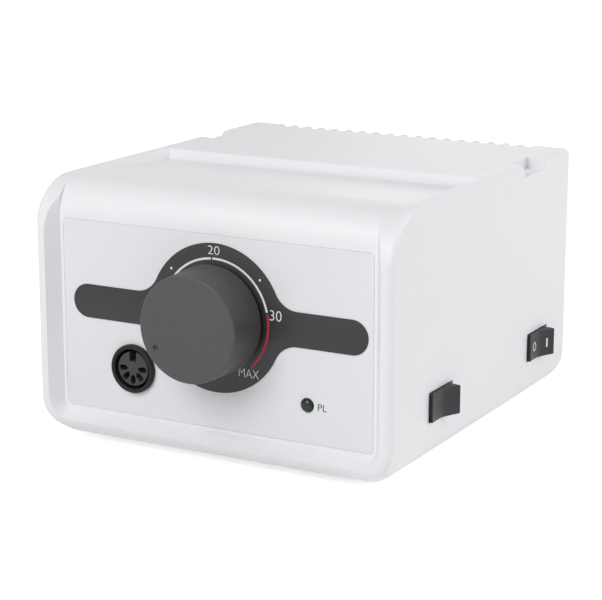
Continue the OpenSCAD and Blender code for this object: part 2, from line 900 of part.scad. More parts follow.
lamp_len = 6;
lamp_wall = 1.2;
lead_d = 0.6;
lead_pitch = 2.54;
lead_len = 9;

module lamp_lens() {
  r = lamp_d / 2;
  dome_r = (pow(r, 2) + pow(lamp_dome, 2)) / (2 * lamp_dome);
  straight = lamp_len + lamp_proud - lamp_dome;
  color("darkgreen") placed() at_lamp() turned(lamp_len) union() {
    square([r, straight]);
    intersection() {
      translate([0, straight + lamp_dome - dome_r]) circle(dome_r);
      translate([0, straight]) square([r, lamp_dome]);
    }
  }
}

module lamp_holder() {
  color("black") placed() at_lamp() difference() {
    rod_y(lamp_d + 2 * lamp_wall, panel_t, lamp_len - over);
    rod_y(lamp_d + 2 * fit_gap, 0, lamp_len);
  }
}

module lamp_leads() {
  color("silver") placed() at_lamp() for (sx = [-1, 1])
    translate([sx * lead_pitch / 2, 0, 0]) rod_y(lead_d, lamp_len, lamp_len + lead_len);
}

// Rocker switches

// Distance from the pivot to the valley between a rocker's halves
valley = (wall + pivot_depth + rocker_proud) / cos(rocker_tilt);
pivot_x = inner_x - pivot_depth;
// Depth of a rocker's underside behind its pivot
keel = 1.8;

// Section of a rocker at half travel, X outwards and Y along its length
module rocker_section() {
  end_y = rocker_half * cos(rocker_tilt);
  end_x = valley + rocker_half * sin(rocker_tilt);
  polygon([
    [end_x, -end_y], [valley, 0], [end_x, end_y],
    [pivot_depth, end_y], [-keel, pivot_d], [-keel, -pivot_d], [pivot_depth, -end_y]]);
}

// Rocker at rest: its front half pressed in, its back half out
module rocker(y, z) {
  translate([pivot_x, y, z]) {
    rotate([0, 0, -rocker_tilt]) along_z(-rocker_w / 2, rocker_w / 2) rocker_section();
    rod_z(pivot_d, -rocker_w / 2 - pivot_len, rocker_w / 2 + pivot_len);
  }
}

module switch_housing(y, z) {
  hollow = pivot_depth + 2 * pivot_d;
  translate([inner_x, y, z]) difference() {
    block([-housing_depth, -rocker_room_y - housing_wall, -rocker_room_z - housing_wall],
      [0, rocker_room_y + housing_wall, rocker_room_z + housing_wall]);
    block([-hollow, -rocker_room_y, -rocker_room_z], [over, rocker_room_y, rocker_room_z]);
    translate([-pivot_depth, 0, 0])
      rod_z(pivot_d + 2 * run_gap, -rocker_room_z - housing_wall - over, rocker_room_z + housing_wall + over);
  }
}

module switch_terminals(y, z, poles) {
  translate([inner_x - housing_depth, y, z])
    for (i = [0 : poles - 1], sz = [-1, 1])
      translate([-blade_len, (i - (poles - 1) / 2) * blade_pitch, sz * rocker_w / 4])
        block([0, -blade_w / 2, -blade_t / 2], [blade_len, blade_w / 2, blade_t / 2]);
}

module direction_housing() {
  color("black") placed() switch_housing(direction_y, direction_z);
}

module direction_rocker() {
  color("dimgray") placed() rocker(direction_y, direction_z);
}

module direction_terminals() {
  color("silver") placed() switch_terminals(direction_y, direction_z, 3);
}

module power_housing() {
  color("black") placed() switch_housing(power_y, power_z);
}

module power_rocker() {
  color("dimgray") placed() rocker(power_y, power_z);
}

module power_terminals() {
  color("silver") placed() switch_terminals(power_y, power_z, 2);
}

// Transformer, with its laminations upright and its length along Y

window_z = core_h / 2 - window_h / 2;

module transformer_core() {
  color("darkslategray") placed() at_core() difference() {
    block([-core_t / 2, -core_len / 2, 0], [core_t / 2, core_len / 2, core_h]);
    for (sy = [0, 1])
      mirror([0, sy, 0])
        block([-core_t, limb_w / 2, window_z], [core_t, limb_w / 2 + window_w, window_z + window_h]);
  }
}

module transformer_coil() {
  wound = limb_w / 2 + window_w - drop_gap;
  color("darkorange") placed() at_core() difference() {
    block([-core_t / 2 - coil_out, -wound, window_z + drop_gap],
      [core_t / 2 + coil_out, wound, window_z + window_h - drop_gap]);
    block([-core_t / 2 - drop_gap, -limb_w / 2 - drop_gap, 0],
      [core_t / 2 + drop_gap, limb_w / 2 + drop_gap, core_h]);
  }
}

module at_strap_screws() {
  for (sy = [-1, 1])
    translate([0, sy * (core_len / 2 + drop_gap + strap_t + strap_foot / 2), 0]) children();
}

module transformer_bracket() {
  inside = core_len / 2 + drop_gap;
  color("silver") placed() at_core() difference() {
    along_x(-strap_w / 2, strap_w / 2) union() {
      translate([-inside - strap_t, 0]) square([strap_t, core_h + strap_t]);
      translate([inside, 0]) square([strap_t, core_h + strap_t]);
      translate([-inside - strap_t, core_h]) square([2 * inside + 2 * strap_t, strap_t]);
      translate([-inside - strap_t - strap_foot, 0]) square([strap_foot + strap_t, strap_t]);
      translate([inside, 0]) square([strap_foot + strap_t, strap_t]);
    }
    at_strap_screws() rod_z(screw_d + 2 * fit_gap, -over, strap_t + over);
  }
}

module transformer_screws() {
  head_h = screw_d / 2;
  color("silver") placed() at_core() at_strap_screws() {
    rod_z(screw_head_d, strap_t, strap_t + head_h);
    rod_z(screw_d, -base_t, strap_t + head_h);
  }
}

// Circuit board

board_screw_d = 2.4;
board_screw_head_d = 4.6;
board_screw_grip = 5;

module circuit_board() {
  color("darkgreen") placed() difference() {
    at_board() translate([-board_w / 2, -board_len / 2, base_top + post_h])
      cube([board_w, board_len, board_t]);
    at_posts() rod_z(board_screw_d + 2 * fit_gap, base_top, board_top + over);
  }
}

module board_posts() {
  color("goldenrod") placed() at_posts() difference() {
    rod_z(post_d, base_top, base_top + post_h);
    rod_z(board_screw_d + 2 * fit_gap, base_top + post_h - board_screw_grip - over, base_top + post_h + over);
  }
}

module board_screws() {
  color("silver") placed() at_posts() {
    rod_z(board_screw_head_d, board_top, board_top + board_screw_d / 2);
    rod_z(board_screw_d, board_top - board_t - board_screw_grip, board_top + board_screw_d / 2);
  }
}

// Places on the board, as shares of its width and length from its middle, besides the headers' ones
filter_place = [-0.2, 0.26];
small_cap_places = [[-0.3, -0.1], [-0.3, 0.04], [0.3, 0.1]];
chip_place = [0.12, -0.12];
bridge_place = [0.27, 0.3];

function board_point(place, z) = [board_x + place[0] * board_w, board_y + place[1] * board_len, z];

module on_board(place) {
  translate(board_point(place, board_top)) children();
}

module stand(w, l, h) {
  block([-w / 2, -l / 2, 0], [w / 2, l / 2, h]);
}

module filter_capacitor() {
  color("midnightblue") placed() on_board(filter_place) cylinder(d = filter_d, h = filter_h);
}

module small_capacitors() {
  color("midnightblue") placed() for (place = small_cap_places)
    on_board(place) cylinder(d = small_cap_d, h = small_cap_h);
}

module control_chip() {
  color("black") placed() on_board(chip_place) stand(chip_w, chip_len, chip_h);
}

module bridge_rectifier() {
  color("black") placed() on_board(bridge_place) stand(bridge_w, bridge_t, bridge_h);
}

module wire_headers() {
  color("ivory") placed() for (place = header_places)
    on_board(place) stand(header_w, header_t, header_h);
}

// Heat sink behind the board, with the power transistor on its face

sink_y = board_y + board_len / 2 + device_t / 2;

module at_sink() translate([board_x, sink_y, base_top]) children();

module heat_sink() {
  pitch = (sink_w - fin_t) / (fin_count - 1);
  color("dimgray") placed() at_sink() difference() {
    union() {
      block([-sink_w / 2, 0, 0], [sink_w / 2, sink_back, sink_h]);
      for (i = [0 : fin_count - 1])
        translate([-sink_w / 2 + i * pitch, 0, 0]) cube([fin_t, sink_t, sink_h]);
    }
    translate([0, 0, device_hole_z]) rod_y(board_screw_d + 2 * fit_gap, -over, sink_back);
  }
}

device_foot = board_top - base_top + device_rise;
device_hole_z = device_foot + device_h - device_w / 4;

module power_transistor() {
  leg_w = device_w / 10;
  color("black") placed() at_sink() difference() {
    union() {
      block([-device_w / 2, -device_t, device_foot], [device_w / 2, 0, device_foot + device_h]);
      for (i = [-1 : 1])
        translate([i * device_w / 4, -device_t / 2 - leg_w, 0])
          block([-leg_w / 2, -leg_w / 2, device_foot - device_rise],
            [leg_w / 2, leg_w / 2, device_foot + leg_w]);
    }
    translate([0, 0, device_hole_z]) rod_y(board_screw_d + 2 * fit_gap, -device_t - over, over);
  }
}

module transistor_screw() {
  head_h = board_screw_d / 2;
  color("silver") placed() at_sink() translate([0, 0, device_hole_z]) {
    rod_y(board_screw_head_d, -device_t - head_h, -device_t);
    rod_y(board_screw_d, -device_t - head_h, sink_back - over);
  }
}

// Back

inlet_floor_t = 4;
pin_short = 2;
pin_tail = 1.5;
pin_offset = 4;

module inlet_pin_shapes(gap) {
  recess_floor = inlet_flange_t - recess_depth;
  for (place = [[-pin_pitch / 2, 0], [pin_pitch / 2, 0], [0, pin_offset]])
    translate([place[0], 0, place[1]])
      block([-pin_w / 2 - gap, recess_floor - inlet_floor_t - pin_tail, -pin_h / 2 - gap],
        [pin_w / 2 + gap, inlet_flange_t - pin_short, pin_h / 2 + gap]);
}

module mains_inlet() {
  flange_r = inlet_wall;
  recess_floor = inlet_flange_t - recess_depth;
  color("black") placed() at_inlet() difference() {
    union() {
      along_y(0, inlet_flange_t) round_rect(inlet_flange_w, inlet_flange_h, flange_r);
      along_y(recess_floor - inlet_floor_t, over) square([inlet_body_w, inlet_body_h], center = true);
    }
    along_y(recess_floor, inlet_flange_t + over) round_rect(recess_w, recess_h, flange_r);
    inlet_pin_shapes(fit_gap);
  }
}

module inlet_pins() {
  color("silver") placed() at_inlet() inlet_pin_shapes(0);
}

module fuse_holder() {
  color("black") placed() at_fuse() difference() {
    union() {
      rod_y(fuse_flange_d, 0, fuse_flange_t);
      rod_y(fuse_barrel_d, -fuse_len, fuse_flange_t);
    }
    rod_y(fuse_stem_d + 4 * run_gap, fuse_floor_t - fuse_len, fuse_flange_t + over);
  }
}

fuse_floor_t = 2;
fuse_nut_d = 17.5;
fuse_nut_t = 4;

module fuse_nut() {
  color("black") placed() at_fuse() difference() {
    translate([0, -wall, 0]) rotate([90, 0, 0]) cylinder(d = fuse_nut_d, h = fuse_nut_t, $fn = 6);
    rod_y(fuse_barrel_d + 2 * fit_gap, -wall - fuse_nut_t - over, over);
  }
}

fuse_seat = fuse_flange_t + move_gap;
grip_slot_w = 1.4;
grip_slot_depth = 1.6;
fuse_hold = 4;

module fuse_cap() {
  color("black") placed() at_fuse() difference() {
    union() {
      rod_y(fuse_cap_d, fuse_seat, fuse_seat + fuse_cap_len);
      rod_y(fuse_stem_d, fuse_seat - fuse_stem_len, fuse_seat + over);
    }
    rod_y(fuse_d + 2 * fit_gap, fuse_seat - fuse_stem_len - over, fuse_seat - fuse_stem_len + fuse_hold);
    block([-fuse_cap_d, fuse_seat + fuse_cap_len - grip_slot_depth, -grip_slot_w / 2],
      [fuse_cap_d, fuse_seat + fuse_cap_len + over, grip_slot_w / 2]);
  }
}

module fuse_tube() {
  front = fuse_seat - fuse_stem_len + fuse_hold;
  color("lightcyan") placed() at_fuse() rod_y(fuse_d, front - fuse_tube_len, front);
}

module pedal_jack() {
  color("black") placed() at_jack() difference() {
    union() {
      rod_y(jack_bush_d, -wall - over, jack_proud);
      along_y(-wall - jack_len, -wall) square(jack_body_w, center = true);
    }
    rod_y(jack_bore_d, inlet_floor_t - wall - jack_len, jack_proud + over);
  }
}

module pedal_nut() {
  color("silver") placed() at_jack() difference() {
    translate([0, jack_nut_t, 0]) rotate([90, 0, 0]) cylinder(d = jack_nut_d, h = jack_nut_t, $fn = 6);
    rod_y(jack_bush_d + 2 * fit_gap, -over, jack_nut_t + over);
  }
}

// Wiring, each bundle led from one piece to the next in straight runs with round bends

header_top = board_top + header_h;
header_end = header_w / 4;
bend_r = wire_d;
// Length of a bundle's end before its first bend
wire_end = wire_d + drop_gap;
// Way of a bundle round another piece
wire_way = 3 * wire_d;
// Ends on the wire headers, from left to right
speed_end = board_point(header_places[0], header_top) - [header_end, 0, 0];
pedal_end = board_point(header_places[0], header_top) + [header_end, 0, 0];
socket_end = board_point(header_places[1], header_top);
direction_end = board_point(header_places[2], header_top) + [header_end, 0, 0];

function unit(v) = v / norm(v);

// Quarter bend at a corner, from one way to another at a right angle to it
module wire_bend(corner, way_in, way_out) {
  side = cross(way_in, way_out);
  upright = abs(way_out[2]) > abs(way_in[2] + side[2]);
  spin = upright ? 0 : atan2(-way_out[1], -way_out[0]);
  roll = upright ? atan2(sign(way_out[2]) * way_in[0], way_in[1]) : atan2(way_in[2], side[2]);
  translate(corner + bend_r * (way_out - way_in))
    rotate([roll, asin(way_out[2]), spin])
      rotate_extrude(angle = 90) translate([bend_r, 0]) circle(d = wire_d);
}

module wire_run(points) {
  last = len(points) - 1;
  for (i = [0 : last - 1]) {
    way = unit(points[i + 1] - points[i]);
    from = points[i] + (i == 0 ? 0 : bend_r) * way;
    to = points[i + 1] - (i == last - 1 ? 0 : bend_r) * way;
    translate(from) rotate([0, acos(way[2]), atan2(way[1], way[0])])
      cylinder(d = wire_d, h = norm(to - from));
  }
  for (i = [1 : last - 1])
    wire_bend(points[i], unit(points[i] - points[i - 1]), unit(points[i + 1] - points[i]));
}

module speed_wires() {
  lug = [dial_shift, panel_t + pot_len + lug_t, knob_z - pot_d / 4 - lug_len / 2];
  color("firebrick") placed() wire_run([
    lug,
    [lug[0], speed_end[1], lug[2]],
    [speed_end[0], speed_end[1], lug[2]],
    speed_end]);
}

module socket_wires() {
  tail = [-socket_x, socket_len + tail_len, panel_z - socket_drop - contact_at];
  way_y = tail[1] + wire_way;
  way_z = tail[2] + wire_way;
  color("gold") placed() wire_run([
    tail,
    [tail[0], way_y, tail[2]],
    [socket_end[0], way_y, tail[2]],
    [socket_end[0], way_y, way_z],
    [socket_end[0], socket_end[1], way_z],
    socket_end]);
}

module lamp_wires() {
  lead = [lamp_x, lamp_len + lead_len, panel_z - lamp_drop];
  color("gold") placed()
    wire_run([lead, [lead[0], socket_end[1], lead[2]], [lead[0], socket_end[1], header_top]]);
}

module direction_wires() {
  blade = [inner_x - housing_depth - blade_len, direction_y, direction_z + rocker_w / 4];
  color("firebrick") placed()
    wire_run([blade, [direction_end[0], blade[1], blade[2]], [direction_end[0], blade[1], header_top]]);
}

coil_face = -core_x + core_t / 2 + coil_out;

module mains_wires() {
  tail_y = y_back + inlet_flange_t - recess_depth - inlet_floor_t - pin_tail;
  way_y = tail_y - wire_end;
  right_pin = inlet_x + pin_pitch / 2;
  left_pin = inlet_x - pin_pitch / 2;
  blade_x = inner_x - housing_depth - blade_len * 3 / 4;
  blade_z = power_z + rocker_w / 4;
  blade_y = blade_pitch / 2 + blade_w / 2;
  fuse_end = y_back - fuse_len;
  fuse_side = -fuse_x + fuse_barrel_d;
  coil_end = [coil_face, core_y + limb_w / 2, base_top + core_h * 3 / 4];
  coil_way = coil_face + wire_way;
  over_sink = base_top + sink_h + wire_way;
  ahead = power_y - blade_y - 2 * wire_end;
  color("saddlebrown") placed() {
    wire_run([
      [right_pin, tail_y, inlet_z],
      [right_pin, way_y, inlet_z],
      [blade_x, way_y, inlet_z],
      [blade_x, way_y, blade_z],
      [blade_x, power_y + blade_y, blade_z]]);
    wire_run([
      [left_pin, tail_y, inlet_z],
      [left_pin, way_y, inlet_z],
      [fuse_side, way_y, inlet_z],
      [fuse_side, fuse_end - wire_end, inlet_z],
      [-fuse_x, fuse_end - wire_end, inlet_z],
      [-fuse_x, fuse_end, inlet_z]]);
    wire_run([
      [blade_x, power_y - blade_y, blade_z],
      [blade_x, ahead, blade_z],
      [blade_x, ahead, over_sink],
      [coil_way, ahead, over_sink],
      [coil_way, coil_end[1], over_sink],
      [coil_way, coil_end[1], coil_end[2]],
      coil_end]);
  }
}

module winding_wires() {
  start = [coil_face, core_y - limb_w / 2, base_top + core_h / 2];
  end_x = board_x - board_w / 2 + wire_d;
  color("khaki") placed()
    wire_run([start, [end_x, start[1], start[2]], [end_x, start[1], board_top]]);
}

module pedal_wires() {
  start = [-jack_x, inner_back - jack_len, jack_z];
  way_y = start[1] - 2 * wire_d;
  way_z = base_top + core_h + strap_t + wire_d;
  color("dimgray") placed() wire_run([
    start,
    [start[0], way_y, start[2]],
    [start[0], way_y, way_z],
    [pedal_end[0], way_y, way_z],
    [pedal_end[0], pedal_end[1], way_z],
    pedal_end]);
}

upper_case();
base_plate();
base_screws();
rubber_feet();
front_panel();
dial_plate();
speed_knob();
knob_insert();
pot_shaft();
pot_housing();
pot_washer();
pot_nut();
pot_terminals();
socket_shell();
socket_insert();
socket_contacts();
socket_nut();
lamp_lens();
lamp_holder();
lamp_leads();
direction_housing();
direction_rocker();
direction_terminals();
power_housing();
power_rocker();
power_terminals();
transformer_core();
transformer_coil();
transformer_bracket();
transformer_screws();
circuit_board();
board_posts();
board_screws();
filter_capacitor();
small_capacitors();
control_chip();
bridge_rectifier();
wire_headers();
heat_sink();
power_transistor();
transistor_screw();
mains_inlet();
inlet_pins();
fuse_holder();
fuse_nut();
fuse_cap();
fuse_tube();
pedal_jack();
pedal_nut();
speed_wires();
socket_wires();
lamp_wires();
direction_wires();
mains_wires();
winding_wires();
pedal_wires();
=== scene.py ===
"""Looks of a bench control box for a nail drill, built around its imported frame."""

import json
import logging
import math
from collections.abc import Callable, Sequence
from dataclasses import astuple, dataclass, field
from enum import Enum

import bmesh
import bpy
from mathutils import Matrix, Vector


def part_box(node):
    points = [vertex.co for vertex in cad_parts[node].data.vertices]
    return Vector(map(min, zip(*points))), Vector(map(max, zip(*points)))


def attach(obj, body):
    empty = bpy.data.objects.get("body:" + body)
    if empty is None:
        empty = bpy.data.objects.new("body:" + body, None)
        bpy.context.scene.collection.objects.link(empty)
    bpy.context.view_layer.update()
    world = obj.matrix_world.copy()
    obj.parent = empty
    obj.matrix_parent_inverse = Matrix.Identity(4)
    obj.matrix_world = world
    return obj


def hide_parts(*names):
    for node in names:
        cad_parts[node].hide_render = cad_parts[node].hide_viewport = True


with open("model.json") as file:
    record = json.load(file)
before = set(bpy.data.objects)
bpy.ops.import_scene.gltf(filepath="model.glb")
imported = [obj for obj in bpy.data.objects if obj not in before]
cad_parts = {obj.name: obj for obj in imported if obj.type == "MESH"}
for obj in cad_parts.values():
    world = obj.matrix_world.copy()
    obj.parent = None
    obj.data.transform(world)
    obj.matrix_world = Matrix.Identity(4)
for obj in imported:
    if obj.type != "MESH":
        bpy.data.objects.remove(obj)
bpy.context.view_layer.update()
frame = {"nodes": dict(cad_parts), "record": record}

LOG = logging.getLogger("control_box")
MM = 0.001
WELD = 1e-5  # Points nearer than this become one.
CLEAR = 2.0  # How far a cut reaches past a face.
Point = tuple[float, float]
Profile = Sequence[Point]


class Plane(Enum):
    """Plane of an outline, by where its two axes and its normal go among the case's axes."""

    XZ = (0, 2, 1)
    YZ = (2, 0, 1)
    XY = (0, 1, 2)

    def point(self, u: float, v: float, w: float) -> Vector:
        """Puts an outline's point, with its place along the normal, into the case."""
        return Vector([(u, v, w)[i] for i in self.value])


class Body(Enum):
    """Rigid bodies of the frame."""

    CASE = "case"
    KNOB = "knob"
    DIRECTION = "direction_rocker"
    POWER = "power_rocker"
    FUSE = "fuse_carrier"


@dataclass(frozen=True)
class Layout:
    """Sizes in millimetres, from the middle of the panel's face and the case's underside."""

    half_w: float = 68.5
    y_rim: float = -3.8
    y_back: float = 147.0
    height: float = 90.0
    wall: float = 2.8
    floor_t: float = 5.2
    panel_w: float = 119.4
    panel_h: float = 66.0
    panel_t: float = 2.5
    panel_z: float = 43.4
    panel_r: float = 1.4
    panel_gap: float = 0.25
    lip: float = 1.1
    lip_top: float = 77.75
    knob_at: Point = (1.1, 48.4)
    socket_at: Point = (-31.7, 26.7)
    lamp_at: Point = (35.8, 23.4)
    pivot_x: float = 63.5
    direction_at: Point = (32.8, 20.8)
    power_at: Point = (116.2, 21.4)
    inlet_at: Point = (28.0, 34.0)
    fuse_at: Point = (-9.0, 31.0)
    jack_at: Point = (-42.0, 31.0)
    base_at: Point = (0.0, 71.6)
    base_top: float = 2.7

    def to_row(self) -> Matrix:
        """Finds the way from case millimetres to the frame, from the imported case.

        Returns:
            The matrix that places a piece.
        """
        low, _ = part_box("upper_case")
        shift = Vector((low.x + self.half_w * MM, low.y - self.y_rim * MM, low.z))
        return Matrix.Translation(shift) @ Matrix.Scale(MM, 4)


LAYOUT = Layout()


def smooth(t: float) -> float:
    """Eases a share, which is held between 0 and 1."""
    t = min(max(t, 0.0), 1.0)
    return t * t * (3 - 2 * t)


def mix(a: float, b: float, t: float) -> float:
    """Mixes two numbers by the share of the second one."""
    return a + (b - a) * t


def polar(centre: Point, r: float, turn: float) -> Point:
    """Finds the point at a radius and an angle in degrees from a centre."""
    t = math.radians(turn)
    return (centre[0] + r * math.cos(t), centre[1] + r * math.sin(t))


def arc(centre: Point, r: float, start: float, end: float, steps: int) -> list[Point]:
    """Lays points on an arc between two angles in degrees, both ends included."""
    return [polar(centre, r, mix(start, end, i / steps)) for i in range(steps + 1)]


def disc(centre: Point, r: float, steps: int) -> list[Point]:
    """Outlines a disc in so many steps."""
    return arc(centre, r, 0, 360, steps)[:-1]


def round_rect(centre: Point, size: Point, r: float, steps: int = 8) -> list[Point]:
    """Outlines a rectangle with round corners.

    Args:
        centre: The rectangle's middle.
        size: Its width and height.
        r: The corners' radius.
        steps: The steps of a corner.

    Returns:
        The outline's points.
    """
    a, b = size[0] / 2 - r, size[1] / 2 - r
    corners = [(a, -b, -90), (a, b, 0), (-a, b, 90), (-a, -b, 180)]
    return [
        p
        for x, z, turn in corners
        for p in arc((centre[0] + x, centre[1] + z), r, turn, turn + 90, steps)
    ]


def show(name: str, data: bpy.types.ID) -> bpy.types.Object:
    """Puts a mesh, curve, light or camera into the scene.

    Args:
        name: The object's name.
        data: What it shows.

    Returns:
        The object.
    """
    obj = bpy.data.objects.new(name, data)
    bpy.context.scene.collection.objects.link(obj)
    return obj


def settled(obj: bpy.types.Object) -> bpy.types.Mesh:
    """Makes a mesh of an object with its modifiers applied."""
    graph = bpy.context.evaluated_depsgraph_get()
    return bpy.data.meshes.new_from_object(obj.evaluated_get(graph))


class Shape:
    """A mesh in the making, in case millimetres."""

    def __init__(self) -> None:
        """Starts an empty mesh."""
        self.bm = bmesh.new()

    def loft(self, rings: Sequence[Sequence[Vector]], close: bool = False) -> "Shape":
        """Draws a skin through rings with equal numbers of points.

        Args:
            rings: The rings in order.
            close: Whether the last ring meets the first one, so that no end is capped.

        Returns:
            The shape itself.
        """
        count = len(rings[0])
        made = bmesh.ops.create_circle(self.bm, cap_ends=not close, segments=count, radius=1)
        loop = list(made["verts"])
        for vert, place in zip(loop, rings[0]):
            vert.co = place
        for ring in rings[1:]:
            edges = [self.bm.edges.get((loop[i - 1], loop[i])) for i in range(count)]
            grown = bmesh.ops.extrude_edge_only(self.bm, edges=edges)["geom"]
            fresh = {v for v in grown if isinstance(v, bmesh.types.BMVert)}
            loop = [
                next(w for w in (e.other_vert(v) for e in v.link_edges) if w in fresh)
                for v in loop
            ]
            for vert, place in zip(loop, ring):
                vert.co = place
        if not close:
            edges = [self.bm.edges.get((loop[i - 1], loop[i])) for i in range(count)]
            bmesh.ops.edgeloop_fill(self.bm, edges=edges)
        bmesh.ops.remove_doubles(self.bm, verts=self.bm.verts, dist=WELD)
        bmesh.ops.recalc_face_normals(self.bm, faces=self.bm.faces)
        return self

    def slab(
        self, outline: Profile, low: float, high: float, plane: Plane = Plane.XZ
    ) -> "Shape":
        """Draws an outline out into a slab between two places along its plane's normal."""
        return self.loft([[plane.point(u, v, w) for u, v in outline] for w in (low, high)])

    def lathe(
        self,
        profile: Profile,
        at: Point,
        base: float = 0.0,
        plane: Plane = Plane.XZ,
        close: bool = False,
        steps: int = 96,
    ) -> "Shape":
        """Turns a profile about an axis along the plane's normal.

        Args:
            profile: Radius and place along the axis of each point.
            at: Where the axis meets the plane.
            base: Where along the axis the profile starts to count.
            plane: The plane that the axis stands on.
            close: Whether the profile is a closed one, as for a tube.
            steps: The steps of a full turn.

        Returns:
            The shape itself.
        """
        centre = plane.point(*at, base)
        points = [*profile, profile[0]] if close else profile
        rings = [
            [centre + plane.point(u, v, h) for u, v in disc((0, 0), r, steps)] for r, h in points
        ]
        return self.loft(rings, close)

    def sheet(self, outline: Profile) -> None:
        """Lays a flat mark in the plane of the panel's face.

        Args:
            outline: The mark's outline.
        """
        made = bmesh.ops.create_circle(self.bm, cap_ends=True, segments=len(outline), radius=1)
        for vert, (x, z) in zip(made["verts"], outline):
            vert.co = Plane.XZ.point(x, z, 0)

    def letters(self, words: str, centre: Point, size: Point, weight: float) -> None:
        """Lays plain letters in the plane of the panel's face.

        Args:
            words: The letters.
            centre: Their middle on the front.
            size: Their width and height.
            weight: How far the strokes are thinned, as a share of the letters.
        """
        curve = bpy.data.curves.new("letters", "FONT")
        curve.body = words
        curve.offset = -weight
        curve.resolution_u = 6
        holder = show("letters", curve)
        mesh = settled(holder)
        bpy.data.objects.remove(holder)
        xs = [v.co.x for v in mesh.vertices]
        ys = [v.co.y for v in mesh.vertices]
        wide, tall = max(xs) - min(xs), max(ys) - min(ys)
        middle = Vector(((max(xs) + min(xs)) / 2, (max(ys) + min(ys)) / 2, 0))
        mesh.transform(
            Matrix.Translation((centre[0], 0, centre[1]))
            @ Matrix.Rotation(math.radians(90), 4, "X")
            @ Matrix.Diagonal((size[0] / wide, size[1] / tall, 1, 1))
            @ Matrix.Translation(-middle)
        )
        self.bm.from_mesh(mesh)

    def soften(self, offset: float, segments: int = 3, angle: float = 40) -> "Shape":
        """Rounds the edges that are sharper than an angle.

        Args:
            offset: The rounding's width.
            segments: The rounding's steps.
            angle: The angle in degrees.

        Returns:
            The shape itself.
        """
        least = math.radians(angle)
        bmesh.ops.bevel(
            self.bm,
            geom=[
                e for e in self.bm.edges if len(e.link_faces) == 2 and e.calc_face_angle() > least
            ],
            offset=offset,
            offset_type="OFFSET",
            segments=segments,
            profile=0.5,
            affect="EDGES",
            material=-1,
            clamp_overlap=True,
        )
        return self

    def turn(self, matrix: Matrix) -> None:
        """Moves the whole shape by a matrix in case millimetres."""
        bmesh.ops.transform(self.bm, matrix=matrix, verts=self.bm.verts)

    def to_object(self, name: str) -> bpy.types.Object:
        """Makes an object with its place in its mesh.

        Args:
            name: The object's name.

        Returns:
            The object, in the frame.
        """
        bmesh.ops.recalc_face_normals(self.bm, faces=self.bm.faces)
        self.bm.transform(LAYOUT.to_row())
        mesh = bpy.data.meshes.new(name)
        self.bm.to_mesh(mesh)
        self.bm.free()
        return show(name, mesh)


def carve(obj: bpy.types.Object, tool: Shape, operation: str = "DIFFERENCE") -> None:
    """Cuts a shape out of an object, or joins it on.

    Args:
        obj: The object that changes.
        tool: The other shape.
        operation: The boolean's name.
    """
    cutter = tool.to_object("cutter")
    cut = obj.modifiers.new("cut", "BOOLEAN")
    cut.operation = operation
    cut.object = cutter
    cut.solver = "EXACT"
    mesh = settled(obj)
    obj.modifiers.clear()
    obj.data = mesh
    bpy.data.objects.remove(cutter)


def wire(
    tree: bpy.types.NodeTree,
    kinds: dict[str, str],
    values: dict[str, float | Sequence[float]],
    links: Sequence[str],
) -> None:
    """Adds nodes to a tree, sets inputs and links the nodes.

    Args:
        tree: The tree.
        kinds: The new nodes' types by name, without ShaderNode, and after a colon an
            operation.
        values: The inputs' values, each by its node and socket with a dot between.
        links: The links, each from a node and its output to a node and its input.
    """

    def socket(side: str, place: str) -> bpy.types.NodeSocket:
        """Finds a node's input or output by its name or number."""
        name, _, key = place.partition(".")
        return getattr(tree.nodes[name], side)[int(key) if key.isdigit() else key]

    for name, kind in kinds.items():
        kind, _, operation = kind.partition(":")
        node = tree.nodes.new(kind if kind.startswith("Node") else f"ShaderNode{kind}")
        node.name = name
        if operation:
            node.operation = operation
    for place, value in values.items():
        socket("inputs", place).default_value = value
    for link in links:
        start, end = link.split(" > ")
        tree.links.new(socket("outputs", start), socket("inputs", end))


SHADER = "Principled BSDF"
GRAIN_SOCKETS = {
    "INPUT": {"Vector": "Vector", "Colour": "Color"}
    | dict.fromkeys(
        ("Mottle", "Mottle Scale", "Roughness", "Spread", "Grain Scale", "Grain Bump"), "Float"
    ),
    "OUTPUT": {"Colour": "Color", "Roughness": "Float", "Normal": "Vector"},
}
GRAIN_KINDS = {
    "given": "NodeGroupInput",
    "result": "NodeGroupOutput",
    "broad": "TexNoise",
    "fine": "TexNoise",
    "lean": "Math:SUBTRACT",
    "share": "Math:MULTIPLY_ADD",
    "tint": "VectorMath:SCALE",
    "rough": "Math:MULTIPLY_ADD",
    "bump": "Bump",
}
GRAIN_VALUES = {
    "broad.Detail": 4.0,
    "fine.Detail": 3.0,
    "lean.1": 0.5,
    "share.2": 1.0,
    "bump.Distance": 0.0002,
}
GRAIN_LINKS = (
    "given.Vector > broad.Vector", "given.Mottle Scale > broad.Scale",
    "given.Vector > fine.Vector", "given.Grain Scale > fine.Scale",
    "broad.Fac > lean.0", "lean.0 > share.0", "given.Mottle > share.1",
    "given.Colour > tint.0", "share.0 > tint.Scale", "tint.0 > result.Colour",
    "lean.0 > rough.0", "given.Spread > rough.1", "given.Roughness > rough.2",
    "rough.0 > result.Roughness", "fine.Fac > bump.Height",
    "given.Grain Bump > bump.Strength", "bump.Normal > result.Normal",
)
# The rays that show the background: the camera's, and those in metal and glass.
SEEN_KINDS = {"path": "LightPath", "mirrored": "Math:MAXIMUM", "seen": "Math:MAXIMUM"}
SEEN_LINKS = (
    "path.Is Camera Ray > mirrored.0", "path.Is Glossy Ray > mirrored.1",
    "mirrored.0 > seen.0", "path.Is Transmission Ray > seen.1",
)


